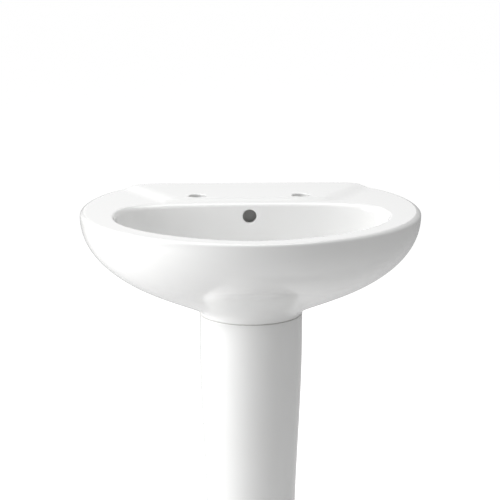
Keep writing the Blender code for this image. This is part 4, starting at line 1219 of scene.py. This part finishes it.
# %% Floor screws and their caps
for name in ("left", "right"):
    low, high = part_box(f"floor_screw_{name}")
    centre = (low + high) / 2
    at = (centre.x, centre.y, 0)
    head_r, head = (high.x - low.x) / 2, high.z - 0.0035
    ridges = thread(SCREW_R, low.z + 0.0005, head - 0.002, 0.0018, 0.0007)
    outline = [(0, low.z), *ridges, (SCREW_R, head - 0.001), (SCREW_R, head), (head_r, head)]
    for turn in quarter(6):
        out = mix(head_r * 0.55, head_r, math.cos(turn))
        outline.append((out, mix(head + 0.001, high.z, math.sin(turn))))
    outline.append((0, high.z))
    screw = turned(f"screw_{name}", outline, at, steps=32, ring=False)
    for wide, deep in ((0.0034, 0.0008), (0.0008, 0.0034)):
        slot_low = (centre.x - wide, centre.y - deep, high.z - 0.0016)
        slot_high = (centre.x + wide, centre.y + deep, high.z + 0.002)
        carve(screw, box("recess", slot_low, slot_high))
    node = f"floor_screw_{name}"
    finished(screw, f"{node}_fine", zinc, "sink", "zinc_steel", node, crease=25)

    low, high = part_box(f"floor_screw_cap_{name}")
    radius, wall = (high.x - low.x) / 2, 0.0012
    inner_r, shoulder = radius - wall, low.z + 0.002
    dome, crown = quarter(8), high.z - wall
    outline = [(radius * math.sin(a), mix(shoulder, high.z, math.cos(a))) for a in dome]
    outline += [(radius, low.z), (inner_r, low.z)]
    outline += [(inner_r * math.sin(a), mix(shoulder, crown, math.cos(a))) for a in reversed(dome)]
    cap = turned(f"cap_{name}", outline, at, ring=False)
    finished(cap, f"screw_cap_{name}", plastic, "sink", "white_plastic", f"floor_screw_cap_{name}")

# %% [markdown]
# ## The waste
# The waste is a brass tube, chromed where it shows. Its flange sits in the bowl's floor, its tail
# goes down through the china, and four slots in the tail take water from the overflow. Two cross
# bars inside hold a threaded hub for the plug's cartridge. The seals and the nut below clamp it.

# %% Waste body
TAIL_END = waste_low.z
BORE_R, FLANGE_R = 0.0190, 0.0320
at_waste = (0, WASTE_Y, 0)
flange_low, flange_high = FLOOR_OF_BOWL - RECESS_DEPTH + 0.002 + 2 * GAP, waste_high.z
bridge_high = FLOOR_OF_BOWL - 0.036
bridge_low = bridge_high - 0.006
slot_z = BOSS_FOOT + SLOT_RISE
BRIM_WIDTH, BRIM_DROP = 0.0025, 0.0012  # the rounding of the flange's edge
dish = [
    (FLANGE_R - BRIM_WIDTH + BRIM_WIDTH * math.cos(a),
     flange_high - BRIM_DROP + BRIM_DROP * math.sin(a))
    for a in quarter(6)
]
seat = bent(
    8, (PLUG_R + 0.0005, flange_high), (BORE_R + 0.004, flange_high - 0.0004),
    (BORE_R, flange_high - 0.0016), (BORE_R, flange_high - 0.0050),
)
outline = [
    (BORE_R, TAIL_END), (TAIL_R - 0.0006, TAIL_END),
    *thread(TAIL_R, TAIL_END + 0.0006, slot_z - 0.008, 0.002, 0.0006),
    (TAIL_R, slot_z - 0.0075), (TAIL_R, flange_low), (FLANGE_R, flange_low), *dish, *seat,
]
waste = turned("waste", outline, at_waste)
waste.data.materials.append(chrome)
bar = BORE_R + 0.001
for half_x, half_y in ((bar, 0.003), (0.003, bar)):
    arm_low = (-half_x, WASTE_Y - half_y, bridge_low)
    arm_high = (half_x, WASTE_Y + half_y, bridge_high)
    carve(waste, box("arm", arm_low, arm_high, eased=0.0008), "UNION")
carve(waste, rod("hub", 0.0075, bridge_low - 0.001, bridge_high + 0.0005, at_waste), "UNION")
carve(waste, rod("hub_thread", 0.0043, bridge_low - 0.01, bridge_high + 0.01, at_waste, steps=32))
for half_x, half_y in ((0.008, TAIL_R + 0.01), (TAIL_R + 0.01, 0.008)):
    slot_low = (-half_x, WASTE_Y - half_y, slot_z - 0.005)
    slot_high = (half_x, WASTE_Y + half_y, slot_z + 0.005)
    carve(waste, box("slot", slot_low, slot_high, eased=0.003))
finished(waste, "waste_tube", chrome, "sink", "chrome", "waste_body", crease=25)

low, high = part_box("waste_bottom_seal")
bore = TAIL_R + GAP
outline = [
    (bore, low.z), (high.x, low.z), (high.x, (low.z + high.z) / 2), (high.x - 0.004, high.z),
    (bore, high.z),
]
taper = ease(turned("taper_washer", outline, at_waste), 0.0006)
finished(taper, "waste_bottom_seal_ring", rubber, "sink", "black_rubber", "waste_bottom_seal")

# %% [markdown]
# ## The press plug
# A domed cap on a plunger, held up by a spring inside a cartridge. Pressing it closes the waste.
# The cap is a turned dome with a rolled edge. The cap, its seal and the plunger ride on the plug's
# body. The spring stays on the sink.

# %% Plug cap, plunger and cartridge
low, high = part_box("plug_cap")
seal_low = low.z
cap_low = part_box("plug_seal")[1].z + GAP
edge_z, crown, edge_r = cap_low + 0.0016, high.z, 0.0016
stem_r = PLUNGER_R + 0.0025
dome_drop = crown - edge_z - 0.0013
top = [(PLUG_R * i / 10 * 0.94, crown - dome_drop * (i / 10) ** 2.2) for i in range(11)]
brim_turns = [math.radians(60 - 15 * i) for i in range(11)]
brim = [(PLUG_R - edge_r + edge_r * math.cos(a), edge_z + edge_r * math.sin(a)) for a in brim_turns]
under = [(PLUG_R - 0.0025, cap_low), (stem_r, cap_low), (stem_r, seal_low), (0, seal_low)]
outline = top + brim + under
cap = turned("cap", outline, at_waste, steps=96, ring=False)
finished(cap, "plug_dome", chrome, "plug", "chrome", "plug_cap")

low, high = plunger_low, plunger_high
piston_r, piston_high = (high.x - low.x) / 2, low.z + 0.004
CHAMFER = 0.0004
groove_r = piston_r - 0.0006
outline = [
    (0, low.z), (piston_r - CHAMFER, low.z), (piston_r, low.z + CHAMFER),
    (piston_r, low.z + 0.0012), (groove_r, low.z + 0.0014), (groove_r, low.z + 0.0024),
    (piston_r, low.z + 0.0026), (piston_r, piston_high), (PLUNGER_R, piston_high),
    (PLUNGER_R, high.z - CHAMFER), (PLUNGER_R - CHAMFER, high.z), (0, high.z),
]
plunger = turned("plunger", outline, at_waste, steps=48, ring=False)
finished(plunger, "plug_stem", zinc, "plug", "zinc_steel", "plug_plunger")

low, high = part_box("plug_cartridge")
sleeve_r, sleeve_bore, sleeve_low = (high.x - low.x) / 2, 0.0062, bridge_high + 0.0008
valley_r, sleeve_floor = sleeve_r - 0.0005, sleeve_low + 0.003
ribs = []
for i in range(5):
    rib = mix(sleeve_low + 0.006, high.z - 0.004, i / 4)
    ribs += [
        (sleeve_r, rib - 0.0009), (valley_r, rib - 0.0005), (valley_r, rib + 0.0005),
        (sleeve_r, rib + 0.0009),
    ]
STEM_R = 0.004
outline = [
    (0, low.z), *thread(STEM_R, low.z, sleeve_low - 0.0004, 0.0012, 0.0004),
    (STEM_R, sleeve_low), (valley_r, sleeve_low), (sleeve_r, sleeve_low + 0.0005), *ribs,
    (sleeve_r, high.z - 0.0005), (valley_r, high.z), (sleeve_bore, high.z),
    (sleeve_bore, sleeve_floor), (0, sleeve_floor),
]
cartridge = turned("cartridge", outline, at_waste, steps=48, ring=False)
finished(cartridge, "plug_sleeve", plastic, "sink", "white_plastic", "plug_cartridge", crease=25)

# %% [markdown]
# The spring's wire is a tube wrapped along a helix. Its first and last turns lie flat, as ground
# ends do, so the pitch is gathered into the middle turns.

# %% Spring
low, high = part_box("plug_spring")
WIRE_R, TURNS, PER_TURN = 0.0006, 6, 28
coil_r = (high.x - low.x) / 2 - WIRE_R
bottom, top_z = low.z + WIRE_R, high.z - WIRE_R


def coil_point(share):
    angle = 2 * math.pi * TURNS * share
    even = min(1, max(0, (share - 0.08) / 0.84))
    z = mix(bottom, top_z, smooth(share, 0.06, 0.94) * 0.5 + 0.5 * even)
    return Vector((coil_r * math.cos(angle), WASTE_Y + coil_r * math.sin(angle), z))


WIRE_SIDES = 10


def wire_section(k, around=WIRE_SIDES):
    """One line of points along the wire, at a place round its section."""
    turn, count = 2 * math.pi * k / around, TURNS * PER_TURN
    points = []
    for i in range(count + 1):
        here = coil_point(i / count)
        out = Vector((here.x, here.y - WASTE_Y, 0)).normalized()
        before, after = coil_point(max(0, (i - 1) / count)), coil_point(min(1, (i + 1) / count))
        along = (after - before).normalized()
        points.append(here + (out * math.cos(turn) + along.cross(out) * math.sin(turn)) * WIRE_R)
    return points


spring = wrapped("press_spring", [wire_section(k) for k in range(WIRE_SIDES)])
finished(spring, "press_spring", zinc, "sink", "zinc_steel", "plug_spring", crease=60)
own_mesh(spring)

# %% [markdown]
# ## The trap
# A bottle trap holds a plug of water in a cup that unscrews. Its head takes the waste from above
# and has a dip tube that ends under the water, and the outlet at its side goes to the wall.

# %% Hand nuts
RIB_COUNT = 16


def hand_nut(name, node, outer, bore, lip_bore, lip, along_y=False, lip_high=False):
    """A moulded nut with rounded ribs for the fingers and an inward lip at one face."""
    low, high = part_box(node)
    centre = (low + high) / 2
    start, height = (low.y, high.y - low.y) if along_y else (low.z, high.z - low.z)
    widest = (high.x - low.x) / 2
    rib = widest - outer
    edge = 0.0022
    rings = [(lip_bore, 0, 0), (outer - edge, 0, 0)]
    for i, turn in enumerate(quarter(4)[1:], 1):
        rings.append((outer - edge * (1 - math.sin(turn)), edge * (1 - math.cos(turn)), i / 4))
    rings += [(outer, height * i / 6, 1) for i in range(1, 5)]
    rings += [(outer - edge * 0.2, height - edge, 0.9), (outer - edge, height, 0)]
    rings += [(bore + 0.0006, height, 0), (bore, height - 0.0008, 0)]
    rings += [(bore, lip, 0), (lip_bore, lip, 0)]
    sides = RIB_COUNT * 8
    sections = []
    for i in range(sides):
        angle = 2 * math.pi * i / sides
        swell = rib * max(0.0, math.cos(RIB_COUNT * angle)) ** 0.7
        section = []
        for radius, along, share in rings:
            r, h = radius + swell * share, start + (height - along if lip_high else along)
            x, y = centre.x + r * math.cos(angle), r * math.sin(angle)
            section.append(Vector((x, h, centre.z + y) if along_y else (x, centre.y + y, h)))
        sections.append(section)
    piece = wrapped(name, sections, closed=True)
    return finished(piece, name, plastic, "sink", "white_plastic", node, crease=40)


hand_nut("trap_inlet_hand_nut", "trap_inlet_nut", TAIL_R + 0.005, TAIL_R + GAP, PIPE_R + GAP, 0.004)
OUTLET_WALL = 0.003
hand_nut(
    "trap_outlet_hand_nut", "trap_outlet_nut", PIPE_R + OUTLET_WALL + 0.0045,
    PIPE_R + OUTLET_WALL + 0.0005, PIPE_R + GAP, 0.003, along_y=True, lip_high=True,
)

# %% Trap head
head_box_low, head_box_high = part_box("trap_head")
cup_low, cup_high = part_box("trap_cup")
TRAP_R, TRAP_WALL = cup_high.x, 0.0030
pipe_bore = PIPE_R - PIPE_WALL
outlet = (pipe_low.z + pipe_high.z) / 2
flange = head_box_high.z
head_high, head_low, dip_end = flange - 0.003 - 0.040, cup_high.z - 0.010, head_box_low.z
head_inner, shoulder = TRAP_R - TRAP_WALL, 0.006
crown_r, crown_z = TRAP_R - shoulder, head_high - shoulder
crown = [
    (crown_r + shoulder * math.sin(a), crown_z + shoulder * math.cos(a)) for a in quarter(6)
]
GRIP_DEPTH = 0.0007
grips = []
for i in (2, 1, 0):
    grip = head_low + 0.004 + 0.004 * i
    grips += [
        (TRAP_R, grip + 0.0012), (TRAP_R - GRIP_DEPTH, grip + 0.0008),
        (TRAP_R - GRIP_DEPTH, grip - 0.0002), (TRAP_R, grip - 0.0006),
    ]
under_flange, under_crown, flange_r = flange - 0.003, head_high - TRAP_WALL, TAIL_R - 0.001
outline = [
    (pipe_bore, flange), (flange_r, flange), (flange_r, under_flange), (PIPE_R, under_flange),
    (PIPE_R, head_high + 0.002), (PIPE_R + 0.0006, head_high + 0.0006),
    (PIPE_R + 0.002, head_high), *crown, *grips, (TRAP_R, head_low), (head_inner, head_low),
    (head_inner, head_high - 0.007), (head_inner - 0.004, under_crown), (PIPE_R, under_crown),
    (PIPE_R, dip_end), (pipe_bore, dip_end),
]
head = turned("head", outline, at_waste)
spigot_end = head_box_high.y
spigot_r = PIPE_R + OUTLET_WALL
for name, radius, inner, outer, operation in (
    ("spigot", spigot_r, WASTE_Y + TRAP_R - 0.004, spigot_end, "UNION"),
    ("passage", pipe_bore, WASTE_Y + PIPE_R + 0.003, spigot_end + 0.01, "DIFFERENCE"),
    ("socket", PIPE_R + GAP, spigot_end - 0.012, spigot_end + 0.01, "DIFFERENCE"),
):
    carve(head, rod(name, radius, inner, outer, (0, 0, outlet), along_y=True), operation)
finished(head, "trap_head_moulding", plastic, "sink", "white_plastic", "trap_head", crease=30)

# %% [markdown]
# The cup unscrews from the head. Its lower part is round, for a good hold it has upright ribs, and
# its floor is dished. The ribs are low blocks, set round the cup and joined on.

# %% Trap cup
seal_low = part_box("trap_cup_seal")[0].z
cup_shoulder, neck_r, wall = seal_low - GAP, TRAP_R - TRAP_WALL - GAP, 0.0026
body_r, base_z = TRAP_R * 0.86, cup_low.z
base = bent(
    12, (TRAP_R * 0.30, base_z), (TRAP_R * 0.66, base_z), (TRAP_R * 0.84, base_z + 0.004),
    (TRAP_R * 0.84, base_z + 0.018),
)
inside = [
    (max(0.0, r - wall * min(1, (r / TRAP_R) ** 2 * 1.4)),
     z + wall * max(0.0, 1 - (z - base_z) / 0.018))
    for r, z in reversed(base)
]
bore, waist = neck_r - wall, cup_shoulder - 0.016
outline = [
    (0, base_z + 0.0015), (TRAP_R * 0.22, base_z + 0.0012), *base, (body_r, waist),
    (TRAP_R - 0.001, cup_shoulder - 0.0125), (TRAP_R, cup_shoulder - 0.011),
    (TRAP_R, cup_shoulder), (neck_r, cup_shoulder), (neck_r, cup_high.z), (bore, cup_high.z),
    (bore, cup_shoulder - 0.006), (body_r - wall, waist), *inside, (0, base_z + wall + 0.0012),
]
cup = turned("cup", outline, at_waste, ring=False)
GRIPS, GRIP_HALF = 12, 0.0018
grip_low = (-GRIP_HALF, body_r - 0.002, base_z + 0.024)
grip_high = (GRIP_HALF, body_r + 0.0022, cup_shoulder - 0.018)
for i in range(GRIPS):
    angle = 2 * math.pi * i / GRIPS
    grip = box("grip", grip_low, grip_high, eased=0.0010)
    grip.data.transform(Matrix.Translation(Vector(at_waste)) @ Matrix.Rotation(angle, 4, "Z"))
    carve(cup, grip, "UNION")
finished(cup, "trap_cup_moulding", plastic, "trap_cup", "white_plastic", "trap_cup", crease=30)

# %% [markdown]
# ## Pipe to the wall
# A plain plastic pipe runs from the trap to the wall, where a collar hides the hole. The pipe is
# cut square with a saw and lightly chamfered, and the collar is a thin flared moulding.

# %% Pipe and wall collar
outline = tube_outline(pipe_bore, PIPE_R, pipe_low.y, pipe_high.y)
pipe = ease(turned("pipe", outline, (0, 0, outlet), along_y=True), 0.0004)
finished(pipe, "outlet_pipe", plastic, "sink", "white_plastic", "waste_pipe")
low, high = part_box("wall_collar")
wide, throat = (high.x - low.x) / 2, PIPE_R + GAP
flare = bent(
    12, (throat + 0.0024, low.y), (throat + 0.003, high.y - 0.005),
    (throat + 0.009, high.y - 0.0022), (wide - 0.0008, high.y - 0.0016),
)
outline = [(throat, low.y), *flare, (wide, high.y - 0.0008), (wide, high.y), (throat, high.y)]
collar = ease(turned("collar", outline, (0, 0, outlet), along_y=True), 0.0003)
finished(collar, "pipe_collar", plastic, "sink", "white_plastic", "wall_collar")

# %% [markdown]
# ## Floor and light
# The sink stands on a plain pale floor that runs to the horizon. Seen straight by the camera the
# floor also glows a little, so it reaches white and still takes the soft shadow under the foot.
# The main softbox stands on the left, level with the rim. A second hangs overhead, and a weak one
# behind is mirrored in the glaze of the flat deck. The white surroundings fill in the rest.

# %% The floor and its finish
FLOOR_WIDTH, FLOOR_TONE, FLOOR_GLOW = 60.0, 0.80, 0.68
paper, tree, shader = start_finish(
    "floor_paper", Base_Color=(FLOOR_TONE, FLOOR_TONE, FLOOR_TONE, 1), Roughness=0.85,
    Emission_Color=(1, 1, 1, 1))
seen = tree.nodes.new("ShaderNodeLightPath")
glow = tree.nodes.new("ShaderNodeMath")
glow.operation = "MULTIPLY"
glow.inputs[1].default_value = FLOOR_GLOW
tree.links.new(seen.outputs["Is Camera Ray"], glow.inputs[0])
tree.links.new(glow.outputs["Value"], shader.inputs["Emission Strength"])
deselect()
bpy.ops.mesh.primitive_plane_add(size=FLOOR_WIDTH)
floor = bpy.context.object
floor.name = "floor"
floor.data.materials.append(paper)
floor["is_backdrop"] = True
print("floor", FLOOR_WIDTH, "m across")

# %% The surroundings
SURROUND, BACKDROP = 0.39, 1.0
world = bpy.data.worlds.new("studio")
bpy.context.scene.world = world
world.use_nodes = True
air_nodes, air_links = world.node_tree.nodes, world.node_tree.links
air = air_nodes["Background"]
air.inputs["Color"].default_value = (1, 1, 1, 1)
direct = air_nodes.new("ShaderNodeLightPath")
level = air_nodes.new("ShaderNodeMapRange")
level.inputs["To Min"].default_value = SURROUND
level.inputs["To Max"].default_value = BACKDROP
air_links.new(direct.outputs["Is Camera Ray"], level.inputs["Value"])
air_links.new(level.outputs["Result"], air.inputs["Strength"])
print("surroundings", SURROUND)


# %% The softboxes
def softbox(name, place, side, energy, aim=(0, 0, 0.75)):
    """A square area light at place, turned to face aim."""
    lamp = bpy.data.lights.new(name, "AREA")
    lamp.shape, lamp.size, lamp.energy = "SQUARE", side, energy
    holder = bpy.data.objects.new(name, lamp)
    bpy.context.scene.collection.objects.link(holder)
    holder.location = place
    holder.rotation_euler = (Vector(aim) - Vector(place)).to_track_quat("-Z", "Y").to_euler()
    print(name, "at", place, energy, "W")


softbox("softbox_side", (-2.2, -0.5, 1.3), 1.6, 55)
softbox("softbox_overhead", (0.0, -0.2, 3.0), 2.0, 29)
softbox("softbox_behind", (0.0, 2.4, 1.8), 1.6, 4)

# %% [markdown]
# ## Camera
# The camera looks a little down on the rim from the front, through a long lens. It aims at the
# middle of the rim and is then slid sideways and down, so the basin fills the upper picture.

# %% The camera
AIM, DISTANCE, LENS, SENSOR = Vector((0, 0, RIM_HEIGHT)), 2.2, 97.78, 36
TURN, TILT = math.radians(-2.2), math.radians(13.4)
SLIDE_RIGHT, SLIDE_UP = -0.0023, -0.0612
right = Vector((math.cos(TURN), math.sin(TURN), 0))
level_on = math.cos(TILT)
forward = Vector((-math.sin(TURN) * level_on, math.cos(TURN) * level_on, -math.sin(TILT)))
up = right.cross(forward)
lens = bpy.data.cameras.new("camera")
lens.lens, lens.sensor_width = LENS, SENSOR
lens.dof.use_dof = False
camera = bpy.data.objects.new("camera", lens)
bpy.context.scene.collection.objects.link(camera)
place = AIM - forward * DISTANCE + up * SLIDE_UP + right * SLIDE_RIGHT
camera.matrix_world = Matrix((
    (right.x, up.x, -forward.x, place.x),
    (right.y, up.y, -forward.y, place.y),
    (right.z, up.z, -forward.z, place.z),
    (0, 0, 0, 1),
))
bpy.context.scene.camera = camera
bpy.context.scene.view_settings.view_transform = "Standard"  # white china stays white
print("camera at", [round(v, 3) for v in place])

# %% [markdown]
# ## Size, and finish
# The box round the finished pieces, floor left out, is measured and its size printed.

# %% Size
low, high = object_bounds()
print("size", [round(b - a, 4) for a, b in zip(low, high)])
